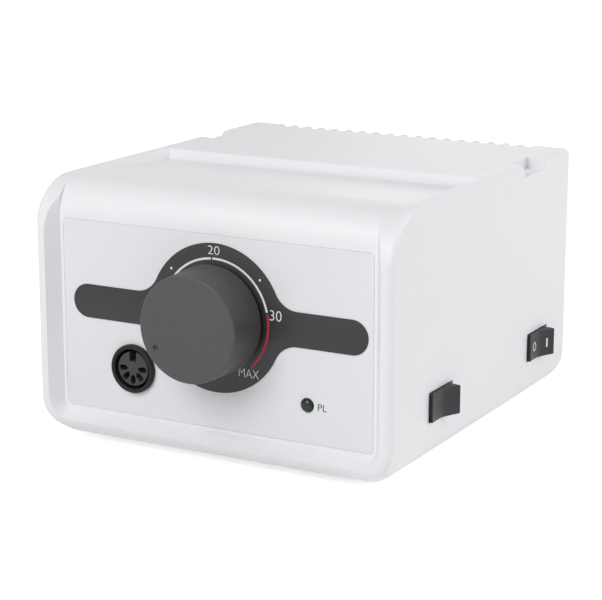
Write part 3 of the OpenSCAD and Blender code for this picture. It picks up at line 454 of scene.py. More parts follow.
@dataclass(frozen=True)
class Finish:
    """A moulded, turned or printed surface."""

    name: str
    colour: tuple[float, float, float]
    roughness: float
    metallic: float = 0.0
    specular: float = 0.5
    coat: float = 0.0
    coat_roughness: float = 0.12
    transmission: float = 0.0
    mottle: float = 0.03
    mottle_scale: float = 60.0
    spread: float = 0.08
    grain_scale: float = 2200.0
    bump: float = 0.05


FINISHES = {
    f.name: f
    for f in (
        Finish("case_white", (0.82, 0.815, 0.835), 0.42, mottle=0.02, bump=0.06),
        Finish("panel_grey", (0.75, 0.75, 0.77), 0.3, mottle=0.02, bump=0.015),
        Finish("dial_print", (0.029, 0.029, 0.031), 0.4, specular=0.35, mottle=0.1, bump=0.02),
        Finish("knob_grey", (0.07, 0.071, 0.075), 0.48, specular=0.35, mottle=0.1, bump=0.1),
        Finish("switch_black", (0.019, 0.02, 0.023), 0.45, specular=0.3, mottle=0.1, bump=0.08),
        Finish("black_plastic", (0.012, 0.012, 0.013), 0.38, specular=0.2, mottle=0.15),
        Finish("socket_grey", (0.05, 0.05, 0.053), 0.5, specular=0.25, mottle=0.1, bump=0.06),
        Finish(
            "lamp_green",
            (0.004, 0.019, 0.012),
            0.14,
            specular=0.3,
            coat=0.2,
            mottle=0.35,
            mottle_scale=700.0,
        ),
        Finish("foot_rubber", (0.03, 0.03, 0.03), 0.75, mottle=0.15, bump=0.2),
        Finish("nickel", (0.66, 0.65, 0.62), 0.24, metallic=1.0, mottle=0.06, bump=0.03),
        Finish("steel", (0.55, 0.55, 0.56), 0.33, metallic=1.0, mottle=0.08, bump=0.04),
        Finish("brass", (0.72, 0.52, 0.22), 0.28, metallic=1.0, mottle=0.08, bump=0.03),
        Finish("core_steel", (0.14, 0.14, 0.15), 0.5, metallic=0.7, mottle=0.25, bump=0.1),
        Finish("coil_tape", (0.62, 0.42, 0.07), 0.35, coat=0.3, mottle=0.12, bump=0.04),
        Finish("board_green", (0.03, 0.17, 0.07), 0.35, coat=0.4, mottle=0.15),
        Finish("capacitor_blue", (0.04, 0.055, 0.2), 0.32, mottle=0.1, bump=0.03),
        Finish("header_ivory", (0.75, 0.7, 0.58), 0.48, mottle=0.06),
        Finish("sink_aluminium", (0.16, 0.16, 0.17), 0.42, metallic=0.8, mottle=0.1),
        Finish("fuse_glass", (0.82, 0.9, 0.9), 0.08, transmission=0.6, mottle=0.04),
        Finish("wire_insulation", (0.28, 0.05, 0.04), 0.45, mottle=0.08, bump=0.03),
        Finish("print_white", (0.8, 0.8, 0.8), 0.5, mottle=0.05, bump=0.02),
        Finish("print_red", (0.5, 0.025, 0.055), 0.5, mottle=0.06, bump=0.02),
        # Dark print for the lamp's legend; the same finish also paints the shade in the knob's
        # index pit.
        Finish("print_dark", (0.05, 0.05, 0.055), 0.5, mottle=0.06, bump=0.02),
    )
}


@dataclass
class Kit:
    """The materials made so far, and what every sub-assembly uses to hand in its pieces."""

    made: dict[str, bpy.types.Material] = field(default_factory=dict)
    group: bpy.types.NodeTree | None = None

    def grain_group(self) -> bpy.types.NodeTree:
        """Makes the shared group of moulding marks, once.

        Returns:
            A group that turns a colour into a mottled colour, a roughness and a normal.
        """
        if self.group is None:
            self.group = bpy.data.node_groups.new("moulded_grain", "ShaderNodeTree")
            for way, sockets in GRAIN_SOCKETS.items():
                for name, kind in sockets.items():
                    kind = f"NodeSocket{kind}"
                    self.group.interface.new_socket(name, in_out=way, socket_type=kind)
            wire(self.group, GRAIN_KINDS, GRAIN_VALUES, GRAIN_LINKS)
        return self.group

    def material(self, finish: Finish) -> bpy.types.Material:
        """Makes a finish's material, once.

        Args:
            finish: The finish.

        Returns:
            The material.
        """
        if finish.name in self.made:
            return self.made[finish.name]
        made = self.made[finish.name] = bpy.data.materials.new(finish.name)
        made.use_nodes = True
        wire(made.node_tree, {"where": "TexCoord", "grain": "Group"}, {}, ())
        made.node_tree.nodes["grain"].node_tree = self.grain_group()
        values = {
            f"{SHADER}.Metallic": finish.metallic,
            f"{SHADER}.Specular IOR Level": finish.specular,
            f"{SHADER}.Coat Weight": finish.coat,
            f"{SHADER}.Coat Roughness": finish.coat_roughness,
            f"{SHADER}.Transmission Weight": finish.transmission,
            "grain.Colour": (*finish.colour, 1.0),
            "grain.Mottle": finish.mottle,
            "grain.Mottle Scale": finish.mottle_scale,
            "grain.Roughness": finish.roughness,
            "grain.Spread": finish.spread,
            "grain.Grain Scale": finish.grain_scale,
            "grain.Grain Bump": finish.bump,
        }
        links = ["where.Object > grain.Vector", f"grain.Colour > {SHADER}.Base Color"]
        links += [f"grain.{name} > {SHADER}.{name}" for name in ("Roughness", "Normal")]
        wire(made.node_tree, {}, values, links)
        return made

    def paint(self, obj: bpy.types.Object, finish: str) -> None:
        """Gives a piece its finish.

        Args:
            obj: The piece.
            finish: The finish's name, which is also its slot.
        """
        obj.data.materials.clear()
        obj.data.materials.append(self.material(FINISHES[finish]))

    def add(
        self,
        name: str,
        shape: Shape,
        finish: str,
        nodes: Sequence[str] = (),
        body: Body = Body.CASE,
        cuts: Sequence[Shape] = (),
        join: Shape | None = None,
        angle: float = 32,
    ) -> None:
        """Makes a piece and gives it its finish, its shading and its place in the frame.

        Args:
            name: The piece's name.
            shape: Its shape.
            finish: Its finish's name.
            nodes: The frame's nodes that it stands for.
            body: The body that it rides on.
            cuts: The shapes that are cut away, in order.
            join: A shape that is joined on before.
            angle: The angle past which an edge is shaded sharp.
        """
        obj = shape.to_object(name)
        if join:
            carve(obj, join, "UNION")
        for tool in cuts:
            carve(obj, tool)
        for face in obj.data.polygons:
            face.use_smooth = True
        obj.data.set_sharp_from_angle(angle=math.radians(angle))
        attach(obj, body.value)
        if nodes:
            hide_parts(*nodes)
        self.paint(obj, finish)


@dataclass(frozen=True)
class Section:
    """One closed section of the case, with places of its own at side, top and bottom."""

    half_w: float
    low: float
    high: float
    low_r: float
    high_r: float
    y_side: float
    y_low: float
    y_high: float
    sink: float = 0.0

    CORNER = 10
    SIDE = 22
    FLAT = 104
    REST_HALF = 64.6
    REST_EASE = 3.2

    @classmethod
    def flat(
        cls, half_w: float, low: float, high: float, radii: Point, y: float, sink: float = 0.0
    ) -> "Section":
        """Makes a section in one plane, with the tool rest sunk below its upper edge."""
        return cls(half_w, low, high, *radii, y, y, y, sink)

    def toward(self, other: "Section", share: float) -> "Section":
        """Mixes two sections by the share of the other one."""
        return Section(*(mix(a, b, share) for a, b in zip(astuple(self), astuple(other))))

    def ring(self) -> list[Vector]:
        """Lays the section's points, from the bottom's left end round.

        Returns:
            The points, equally many for every section.
        """
        a0, a1 = self.half_w - self.low_r, self.half_w - self.high_r
        z0, z1 = self.low + self.low_r, self.high - self.high_r
        spread = [mix(-1, 1, i / self.FLAT) for i in range(self.FLAT)]
        spread = [1.5 * u - 0.5 * u**3 for u in spread]
        rise = [i / self.SIDE for i in range(self.SIDE)]
        points = [Vector((u * a0, self.y_low, self.low)) for u in spread]
        points += self.corner(a0, z0, self.low_r, -90, self.y_low, self.y_side)
        points += [Vector((self.half_w, self.y_side, mix(z0, z1, t))) for t in rise]
        points += self.corner(a1, z1, self.high_r, 0, self.y_side, self.y_high)
        for u in spread:
            inside = smooth((self.REST_HALF - abs(u * a1)) / self.REST_EASE)
            points.append(Vector((-u * a1, self.y_high, self.high - self.sink * inside)))
        points += self.corner(-a1, z1, self.high_r, 90, self.y_high, self.y_side)
        points += [Vector((-self.half_w, self.y_side, mix(z1, z0, t))) for t in rise]
        points += self.corner(-a0, z0, self.low_r, 180, self.y_side, self.y_low)
        return points

    def corner(
        self, x: float, z: float, r: float, start: float, y0: float, y1: float
    ) -> list[Vector]:
        """Lays one corner's points but the last, from one depth over to the other."""
        points = arc((x, z), r, start, start + 90, self.CORNER)[:-1]
        return [
            Vector((px, mix(y0, y1, smooth(i / self.CORNER)), pz))
            for i, (px, pz) in enumerate(points)
        ]


@dataclass
class CaseShell:
    """The moulded case: shell, flared front frame, tool rest, pockets, vents and cut-outs."""

    kit: Kit
    brow_r: float = 18.0
    set_brow_r: float = 12.65
    chin_r: float = 8.4
    rim_y: float = -4.8
    rim_w: float = 3.9
    rim_r: float = 2.0
    rim_low_r: float = 8.2
    back_r: float = 5.0
    back_top_r: float = 4.0
    back_foot_r: float = 8.0
    low_r: float = 11.6
    high_r: float = 2.6
    least_r: float = 0.8
    crest_high: float = -4.79
    crest_low: float = -4.4
    seat_edge: float = 0.12
    window: float = 5.2
    window_t: float = 3.0
    rest_start: float = 18.0
    rest_foot: float = 69.6
    rest_head: float = 73.0
    deck_end: float = 128.0
    rest_depth: float = 4.0
    deck_drop: float = 0.4
    inner_ys: Point = (5.5, 50.0)
    inner_radii: Point = (6.4, 4.6)
    ceiling: float = 82.0
    room_low: float = 62.0
    room_high: float = 100.0
    room_front: float = 1.2
    room_skin: float = 0.02
    vent_count: int = 18
    vent_pitch: float = 6.1
    vent_w: float = 5.0
    vent_depth: float = 1.2
    vent_low: float = 52.0
    vent_foot: float = 2.0
    vent_reach: float = 4.0
    vent_run: float = 0.6
    vent_edge: float = 0.2
    slot: Point = (1.8, 22.0)
    slot_r: float = 0.88
    slot_up: float = 15.2
    slot_in: float = 4.0
    pocket_x: float = 61.5
    pocket_y: float = 110.0
    pocket_len: float = 19.0
    pocket_r: float = 0.7
    pocket_depth: float = 4.2
    hole_in: float = 6.0
    switch_hole: Point = (18.44, 10.5)
    inlet_hole: Point = (28.0, 20.2)
    fuse_hole_r: float = 6.05
    jack_hole_r: float = 4.55
    base_seat: Point = (113.0, 134.0)
    base_hole: Point = (99.6, 120.6)
    base_r: float = 5.0

    BACK_STEPS = (-1, 0, 0.03, 0.1, 0.25, 0.5, 0.9, 1.4, 2.0, 2.7, 3.5, 4.3, 5.2, 6.4)
    BACK_STOPS = (134.0, 131.0)
    STRETCHES = ((128.0, 76.0, 20), (76.0, 69.0, 26), (69.0, 18.0, 20))
    BROW_STOPS = (18.3, 18.0, 17.7, 16.0)
    RIM_SHARES = (0.88, 0.89, 0.9, 0.915, 0.93, 0.95, 0.965, 0.98, 0.99, 0.996, 0.999, 1.0)
    FLARE_SHARES = (0.03, 0.08, 0.2, 0.4, 0.6, 0.8, 0.92, 0.98, 1.0)
    LIP_SHARES = (0.85, 0.12)
    INNER_END = ((3.0, 0.0), (1.0, 0.4), (0.0, 3.0))

    def sink(self, y: float) -> float:
        """Finds the depth of the tool rest and of the deck behind it.

        Args:
            y: The place along the case.

        Returns:
            The depth below the top.
        """
        if y <= self.rest_start or y >= self.deck_end:
            return 0.0
        if y < self.rest_foot:
            return self.rest_depth * (y - self.rest_start) / (self.rest_foot - self.rest_start)
        if y < self.rest_head:
            along = (y - self.rest_foot) / (self.rest_head - self.rest_foot)
            return mix(self.rest_depth, self.deck_drop, along**2)
        along = (y - self.rest_head) / (self.deck_end - self.rest_head)
        return self.deck_drop * (1 - along)

    def back_sections(self) -> list[Section]:
        """Draws the back, from a ring within its flat face over the roundings to the sides.

        Returns:
            The sections.
        """
        made = []
        for step in self.BACK_STEPS:
            deep, flat = max(step, 0), max(-step, 0)
            side, top, foot = (
                r - math.sqrt(r * r - max(r - deep, 0) ** 2) + flat
                for r in (self.back_r, self.back_top_r, self.back_foot_r)
            )
            low_r = max(self.low_r - 0.6 * (side + foot), 2.0)
            radii = (low_r, max(self.high_r - 0.5 * side, self.least_r))
            size = (LAYOUT.half_w - side, foot, LAYOUT.height - top)
            made.append(Section.flat(*size, radii, LAYOUT.y_back - deep))
        return made

    def side_sections(self) -> list[Section]:
        """Draws the straight part, from the back to the brow.

        Returns:
            The sections.
        """
        stops = [LAYOUT.y_back - self.back_foot_r, *self.BACK_STOPS]
        for start, end, steps in self.STRETCHES:
            stops += [mix(start, end, i / steps) for i in range(steps)]
        size = (LAYOUT.half_w, 0, LAYOUT.height, (self.low_r, self.high_r))
        return [Section.flat(*size, y, self.sink(y)) for y in (*stops, *self.BROW_STOPS)]

    def front_sections(self) -> list[Section]:
        """Draws brow, chin and rim, up to the crest.

        Returns:
            The sections.
        """
        start = self.rim_y + self.brow_r
        made = []
        for share in (*(i / 14 for i in range(13)), *self.RIM_SHARES):
            ends = (self.rim_y, self.crest_low, self.crest_high)
            y_side, y_low, y_high = (mix(start, end, share) for end in ends)
            brow = math.sqrt(self.brow_r**2 - (start - y_high) ** 2)
            chin = max(self.rim_y + self.chin_r - y_low, 0)
            low = self.chin_r - math.sqrt(self.chin_r**2 - chin**2)
            rim = min(max(self.rim_y + self.rim_r - y_side, 0) / self.rim_r, 1)
            half = LAYOUT.half_w - self.rim_w * (1 - math.sqrt(1 - rim**2))
            low_r = mix(self.low_r, self.rim_low_r, smooth((share - 0.8) / 0.2))
            size = (half, low, LAYOUT.height - self.brow_r + brow, low_r, self.high_r)
            made.append(Section(*size, y_side, y_low, y_high))
        return made

    def frame_sections(self, crest: Section) -> list[Section]:
        """Draws flare, lip, panel seat and window, from the crest inwards.

        Args:
            crest: The crest's section.

        Returns:
            The sections.
        """
        a = LAYOUT.panel_w / 2 + LAYOUT.panel_gap
        b = LAYOUT.panel_h / 2 + LAYOUT.panel_gap
        corner, back = LAYOUT.panel_r + LAYOUT.panel_gap, LAYOUT.panel_t

        def seat(grow: float, r: float, y: float) -> Section:
            """Makes a section about the panel's outline."""
            size = (a + grow, LAYOUT.panel_z - b - grow, LAYOUT.panel_z + b + grow)
            return Section.flat(*size, (r, r), y)

        lip = seat(LAYOUT.lip, corner + LAYOUT.lip, 0)
        made = [crest.toward(lip, share) for share in self.FLARE_SHARES]
        made += [seat(share * LAYOUT.lip, corner + share, 0) for share in self.LIP_SHARES]
        made += [seat(0, corner, y) for y in (self.seat_edge, back)]
        made += [seat(-self.window, corner, y) for y in (back, back + self.window_t)]
        return made

    def inner_sections(self) -> list[Section]:
        """Draws the inside, from the front to the back.

        Returns:
            The sections.
        """
        half, end = LAYOUT.half_w - LAYOUT.wall, LAYOUT.y_back - LAYOUT.wall
        stops = [(y, 0.0) for y in self.inner_ys] + [(end - d, s) for d, s in self.INNER_END]
        made = []
        for y, inset in stops:
            radii = tuple(max(r - inset, self.least_r) for r in self.inner_radii)
            low, high = LAYOUT.floor_t + inset / 2, self.ceiling - inset
            made.append(Section.flat(half - inset, low, high, radii, y))
        return made

    def brow_room(self) -> Shape:
        """Draws the room above the panel, where the brow lies back between the cheeks.

        Returns:
            The shape to cut away.
        """
        a = LAYOUT.panel_w / 2 + LAYOUT.panel_gap + LAYOUT.lip + 0.01
        slope = (LAYOUT.half_w - self.rim_w - a) / self.rim_y
        front = self.rim_y - self.room_front
        r, top = self.set_brow_r, LAYOUT.lip_top
        levels = [(self.room_low, self.room_skin), (top, self.room_skin)]
        levels += [(top + z, r + y) for y, z in arc((0, 0), r, 178, 120, 24)]
        rings = []
        for z, y in (*levels, (self.room_high, r / 2)):
            half = [(a + slope * front, front), (a, 0.0), (a, y)]
            outline = half + [(-px, py) for px, py in reversed(half)]
            rings.append([Plane.XY.point(px, py, z) for px, py in outline])
        return Shape().loft(rings)

    def vents(self) -> tuple[Shape, Shape]:
        """Draws the grooves that wrap over the rear top edge, and the slots through them.

        Returns:
            The two shapes to cut away.
        """
        back, top = LAYOUT.y_back, LAYOUT.height
        y, z = back - self.back_top_r, top - self.back_top_r
        end = y - self.vent_reach
        profile = [
            (back + CLEAR, self.vent_low),
            (back + self.vent_edge, self.vent_low),
            (back - self.vent_depth, self.vent_low + self.vent_foot),
            *arc((y, z), self.back_top_r - self.vent_depth, 0, 90, 12),
            (end + self.vent_run, top - self.vent_depth),
            (end, top + self.vent_edge),
            (end, top + CLEAR),
            (back + CLEAR, top + CLEAR),
        ]
        grooves, slots = Shape(), Shape()
        for i in range(self.vent_count):
            x = (i - (self.vent_count - 1) / 2) * self.vent_pitch
            grooves.slab(profile, x - self.vent_w / 2, x + self.vent_w / 2, Plane.YZ)
            outline = round_rect((x, self.vent_low + self.slot_up), self.slot, self.slot_r, 4)
            slots.slab(outline, back - self.slot_in, back + 1)
        return grooves, slots

    def pocket(self, side: int) -> Shape:
        """Draws one cradle pocket.

        Args:
            side: 1 for the right one and -1 for the left one.

        Returns:
            The pocket's room.
        """
        a, b = self.pocket_x, LAYOUT.half_w + CLEAR
        middle, size = ((a + b) / 2, self.pocket_y), (b - a, self.pocket_len)
        outline = [(side * x, y) for x, y in round_rect(middle, size, self.pocket_r, 5)]
        low, high = LAYOUT.height - self.pocket_depth, LAYOUT.height + CLEAR
        return Shape().slab(outline, low, high, Plane.XY)

    def build(self) -> None:
        """Makes the case and hands it in."""
        front = self.front_sections()
        sections = self.back_sections() + self.side_sections() + front
        sections += self.frame_sections(front[-1]) + self.inner_sections()
        case = Shape().loft([s.ring() for s in sections])
        cuts, inner = self.vents()
        side, back = LAYOUT.half_w, LAYOUT.y_back
        for middle in (LAYOUT.direction_at, LAYOUT.power_at):
            opening = round_rect(middle, self.switch_hole, 0.5, 3)
            cuts.slab(opening, side - self.hole_in, side + CLEAR, Plane.YZ)
        for hole in (
            round_rect(LAYOUT.inlet_at, self.inlet_hole, 1.0, 3),
            disc(LAYOUT.fuse_at, self.fuse_hole_r, 48),
            disc(LAYOUT.jack_at, self.jack_hole_r, 48),
        ):
            cuts.slab(hole, back - self.hole_in, back + CLEAR)
        seat = round_rect(LAYOUT.base_at, self.base_seat, self.base_r)
        cuts.slab(seat, -CLEAR, LAYOUT.base_top, Plane.XY)
        opening = round_rect(LAYOUT.base_at, self.base_hole, self.base_r)
        inner.slab(opening, -CLEAR, LAYOUT.floor_t + CLEAR, Plane.XY)
        rooms = [cuts, inner, self.brow_room(), self.pocket(-1), self.pocket(1)]
        self.kit.add("case_shell", case, "case_white", ["upper_case"], cuts=rooms, angle=30)


@dataclass
class FrontPanel:
    """The pale panel with its dial plate, its printed scale and its legends."""

    kit: Kit
    grow: float = 0.4
    edge: float = 0.2
    dial_t: float = 0.3
    dial_edge: float = 0.08
    dial_r: float = 25.5
    arm_reach: float = 57.0
    arm_h: float = 11.8
    blend: float = 9.0
    scale_r: float = 20.3
    scale_w: float = 0.75
    white_spans: Profile = ((212.0, 94.0), (92.4, 12.6))
    red_span: Point = (10.6, -47.0)
    dot_at: float = 22.8
    dot_r: float = 0.42
    dot_turns: Point = (138.0, 41.0)
    ink_t: float = 0.02
    ink_gap: float = 0.005
    hole_rs: tuple[float, ...] = (3.75, 7.85, 2.5)

    NUMBERS = (
        ("20", (0.8, 71.5), (4.5, 2.9), 0.012),
        ("30", (24.2, 52.1), (4.4, 3.5), 0.012),
        ("MAX", (13.9, 31.2), (7.6, 2.9), 0.016),
    )
    LEGEND = ("PL", (41.4, 23.2), (3.25, 2.45), 0.0)

    def dial_outline(self) -> list[Point]:
        """Outlines the dial plate, a disc with two arms.

        Returns:
            The outline's points.
        """
        end = self.arm_h / 2
        up = end + self.blend
        out = math.sqrt((self.dial_r + self.blend) ** 2 - up**2)
        lean = math.degrees(math.atan2(up, out))
        quarter = arc((0, 0), self.dial_r, 90, lean, 20)
        quarter += arc((out, up), self.blend, lean + 180, 270, 10)[1:]
        quarter += arc((self.arm_reach - end, 0), end, 90, 0, 12)
        half = quarter + [(x, -z) for x, z in reversed(quarter[:-1])]
        whole = half + [(-x, z) for x, z in reversed(half[1:-1])]
        return [(x + LAYOUT.knob_at[0], z + LAYOUT.knob_at[1]) for x, z in whole]

    def holes(self) -> Shape:
        """Draws the holes for bushing, socket and lamp.

        Returns:
            The shape to cut away.
        """
        made = Shape()
        for middle, r in zip((LAYOUT.knob_at, LAYOUT.socket_at, LAYOUT.lamp_at), self.hole_rs):
            made.slab(disc(middle, r, 64), -3, 6)
        return made

    def band(self, start: float, end: float) -> list[Point]:
        """Outlines a stretch of the printed scale between two angles in degrees.

        Args:
            start: The first angle.
            end: The last angle.

        Returns:
            The outline's points.
        """
        steps = max(int(abs(end - start) / 3), 4)
        outer = arc(LAYOUT.knob_at, self.scale_r + self.scale_w / 2, start, end, steps)
        return outer + arc(LAYOUT.knob_at, self.scale_r - self.scale_w / 2, end, start, steps)

    def printed(self, name: str, marks: Shape, finish: str, base: float) -> None:
        """Hands in printed marks as a skin on their base.

        Args:
            name: The piece's name.
            marks: The marks in the plane of the panel's face.
            finish: The print's finish.
            base: The face that they lie on.
        """
        marks.bm.normal_update()
        bmesh.ops.solidify(marks.bm, geom=marks.bm.faces[:], thickness=self.ink_t)
        high = max(v.co.y for v in marks.bm.verts)
        marks.turn(Matrix.Translation((0, base - self.ink_gap - high, 0)))
        self.kit.add(name, marks, finish)

    def build(self) -> None:
        """Makes panel, dial and print, and hands them in."""
        size = (LAYOUT.panel_w + self.grow, LAYOUT.panel_h + self.grow)
        outline = round_rect((0, LAYOUT.panel_z), size, LAYOUT.panel_r, 10)
        panel = Shape().slab(outline, 0, LAYOUT.panel_t).soften(self.edge)
        dial = Shape().slab(self.dial_outline(), -self.dial_t, 0).soften(self.dial_edge, 2)
        holes = [self.holes()]
        self.kit.add("front_panel_face", panel, "panel_grey", ["front_panel"], cuts=holes)
        holes = [self.holes()]
        self.kit.add("dial_face", dial, "dial_print", ["dial_plate"], cuts=holes)
        white, red, legend = Shape(), Shape(), Shape()
        for span in self.white_spans:
            white.sheet(self.band(*span))
        for turn in self.dot_turns:
            white.sheet(disc(polar(LAYOUT.knob_at, self.dot_at, turn), self.dot_r, 16))
        for row in self.NUMBERS:
            white.letters(*row)
        red.sheet(self.band(*self.red_span))
        legend.letters(*self.LEGEND)
        self.printed("dial_scale", white, "print_white", -self.dial_t)
        self.printed("dial_limit", red, "print_red", -self.dial_t)
        self.printed("lamp_legend", legend, "print_dark", 0.0)


@dataclass
class SpeedKnob:
    """The turning knob with its index dimple."""

    kit: Kit
    foot_r: float = 18.75
    face_r: float = 18.15
    back: float = -2.0
    tip: float = -18.3
    edge: float = 0.8
    skirt_t: float = 2.4
    face_t: float = 3.2
    hub_r: float = 6.5
    hub_bore_r: float = 4.55
    hub_len: float = 8.4
    axis_r: float = 0.02
    index_at: float = 14.0
    index_turn: float = 212.0

    PIT = ((1.05, -1.0), (1.05, 0.5), (0.7, 0.8), (0.3, 0.85))
    # A dark ring laid in the floor of the index pit: painted shade in the pit's bottom corner,
    # which leaves the pit's middle lighter.
    PIT_SHADE = ((0.95, 0.74), (0.95, 0.86), (0.5, 0.86), (0.5, 0.74))

    def profile(self) -> list[Point]:
        """Outlines the knob's half section: skirt, face, hub and their hollows.

        Returns:
            Radius and depth of each point.
        """
        foot, face, back, tip = self.foot_r, self.face_r, self.back, self.tip
        inside, under = foot - self.skirt_t, tip + self.face_t
        end = under + self.hub_len
        return [
            (inside, back), (foot - 0.5, back), (foot - 0.12, back - 0.2), (foot, back - 0.7),
            *((mix(foot, face, t), mix(back, tip, t)) for t in (0.25, 0.6)),
            *arc((face - self.edge, tip + self.edge), self.edge, 0, -90, 6),
            (face - 1.6, tip), (face - 8.0, tip), (self.axis_r, tip), (self.axis_r, under),
            (self.hub_bore_r, under), (self.hub_bore_r, end),
            (self.hub_r, end), (self.hub_r, under), (inside, under),
        ]

    def build(self) -> None:
        """Makes the knob and hands it in."""
        knob = Shape().lathe(self.profile(), LAYOUT.knob_at, close=True, steps=160)
        spot = polar(LAYOUT.knob_at, self.index_at, self.index_turn)
        pit = Shape().lathe(self.PIT, spot, self.tip, steps=32)
        self.kit.add("knob_body", knob, "knob_grey", ["speed_knob"], Body.KNOB, [pit])
        # The dark ring in the pit is painted shade, not print.
        ring = Shape().lathe(self.PIT_SHADE, spot, self.tip, close=True, steps=32)
        self.kit.add("knob_pit_shade", ring, "print_dark", body=Body.KNOB)


@dataclass
class HandpieceSocket:
    """The round five-hole socket."""

    kit: Kit
    holes: int = 5
    step: float = 45.0
    hole_at: float = 3.9
    hole_r: float = 0.8
    hole_span: Point = (2.0, 14.0)
    petal_span: Point = (-3.0, 2.3)
    key_up: float = 5.0
    key: Point = (2.7, 4.8)
    key_span: Point = (-3.0, 6.4)

    RING = (
        (6.9, 12.0), (6.9, -1.2), (7.1, -1.6), (7.45, -1.8), (8.0, -1.8), (8.35, -1.65),
        (8.55, -1.25), (8.55, -0.15), (8.5, 0.0), (7.8, 0.0), (7.8, 13.0), (5.4, 13.0),
        (5.4, 12.0),
    )
    CORE = ((6.05, 12.0), (6.05, -0.7), (5.9, -0.86), (5.7, -0.9), (2.0, -0.9))
    PETAL = (
        (1.9, 0), (2.8, 0.95), (4.7, 1.0), (5.4, 0.5),
        (5.4, -0.5), (4.7, -1.0), (2.8, -0.95),
    )

    def build(self) -> None:
        """Makes shell and insert, and hands them in."""
        x, z = LAYOUT.socket_at
        shell = Shape().lathe(self.RING, (x, z), close=True, steps=128)
        self.kit.add("socket_ring", shell, "black_plastic", ["socket_shell"])
        core = Shape().lathe(self.CORE, (x, z), steps=128)
        cuts, pins = Shape(), Shape()
        for i in range(self.holes):
            c, s = polar((0, 0), 1, -self.step * i)
            petal = [(x + u * c - v * s, z + u * s + v * c) for u, v in self.PETAL]
            cuts.slab(petal, *self.petal_span)
            spot = (x + self.hole_at * c, z + self.hole_at * s)
            pins.slab(disc(spot, self.hole_r, 20), *self.hole_span)
        cuts.slab(round_rect((x, z + self.key_up), self.key, 0.3, 3), *self.key_span)
        self.kit.add("socket_core", core, "socket_grey", ["socket_insert"], cuts=[cuts, pins])


@dataclass
class PilotLamp:
    """The green pilot lamp's lens."""

    kit: Kit
    dome_r: float = 2.15
    dome_h: float = 1.1
    dome_y: float = -0.4

    FLANGE = ((2.3, 6.0), (2.45, 5.85), (2.45, -0.1), (2.2, -0.12), (2.15, 0.6), (2.1, 0.6))

    def build(self) -> None:
        """Makes the lens and hands it in."""
        turns = arc((0, 0), 1, 0, 80, 8)
        dome = [(self.dome_r * c, self.dome_y - self.dome_h * s) for c, s in turns]
        lens = Shape().lathe([*self.FLANGE, *dome], LAYOUT.lamp_at, steps=64)
        self.kit.add("lamp_glass", lens, "lamp_green", ["lamp_lens"], angle=50)


@dataclass
class RockerSwitch:
    """One rocker, with its marks if it has any."""

    kit: Kit
    at: Point
    body: Body
    marked: bool
    half: float = 7.8
    tilt: float = 12.5
    width: float = 9.9
    valley: float = 6.555
    dip: float = 0.06
    edge: float = 0.3
    pin_r: float = 1.2
    pin_len: float = 1.4
    pin_root: float = 0.02
    ink_t: float = 0.05
    off_at: float = -3.9
    off_outer: Point = (1.35, 1.75)
    off_inner: Point = (0.9, 1.3)
    on_at: float = 4.1
    on_size: Point = (0.75, 3.3)

    def place(self) -> Matrix:
        """Finds the rest pose, from the rocker's own axes, X outwards and Y along it."""
        spot = Matrix.Translation((LAYOUT.pivot_x, *self.at))
        return spot @ Matrix.Rotation(math.radians(-self.tilt), 4, "Z")

    def outline(self) -> list[Point]:
        """Outlines the rocker's section.

        Returns:
            The outline's points, X outwards and Y along it.
        """
        end_x, end_y = polar((self.valley, 0), self.half, 90 - self.tilt)
        reach = math.sqrt(1 + self.dip**2) - self.dip
        face = []
        for i in range(17):
            along = mix(-1, 1, i / 16)
            rise = abs(along) - self.dip * math.sin(math.pi * abs(along))
            soft = math.sqrt(rise**2 + self.dip**2) - self.dip
            face.append((mix(self.valley, end_x, soft / reach), along * end_y))
        return [*face, (2.2, end_y), (-1.8, 2.4), (-1.8, -2.4), (2.2, -end_y)]

    def mark(self, shape: Shape, side: int, name: str) -> None:
        """Prints one mark on a half of the rocker.

        Args:
            shape: The mark, drawn flat, along the rocker and upwards.
            side: -1 for the front half and 1 for the rear half.
            name: The piece's name.
        """
        lean = Matrix.Rotation(-side * math.radians(self.tilt), 4, "Z")
        lift = Matrix.Translation((self.valley - self.dip, 0, 0))
        shape.turn(self.place() @ lift @ lean)
        self.kit.add(name, shape, "print_white", body=self.body)

    def build(self) -> None:
        """Makes the rocker and hands it in."""
        name, end = self.body.value, self.width / 2
        shape = Shape().slab(self.outline(), -end, end, Plane.XY).soften(self.edge, 3, 35)
        pin = disc((0, 0), self.pin_r, 32)
        shape.slab(pin, end - self.pin_root, end + self.pin_len, Plane.XY)
        shape.slab(pin, -end - self.pin_len, -end + self.pin_root, Plane.XY)
        shape.turn(self.place())
        self.kit.add(f"{name}_cap", shape, "switch_black", [name], self.body)
        if not self.marked:
            return
        loop = disc((0, 0), 1.0, 40)
        sides = ((self.off_outer, 0), (self.off_outer, self.ink_t))
        sides += ((self.off_inner, self.ink_t), (self.off_inner, 0))
        rings = [
            [Plane.YZ.point(self.off_at + wide * u, tall * v, w) for u, v in loop]
            for (wide, tall), w in sides
        ]
        self.mark(Shape().loft([*rings, rings[0]], close=True), -1, "power_mark_off")
        bar = round_rect((self.on_at, 0), self.on_size, 0.12, 3)
        self.mark(Shape().slab(bar, 0, self.ink_t, Plane.YZ), 1, "power_mark_on")


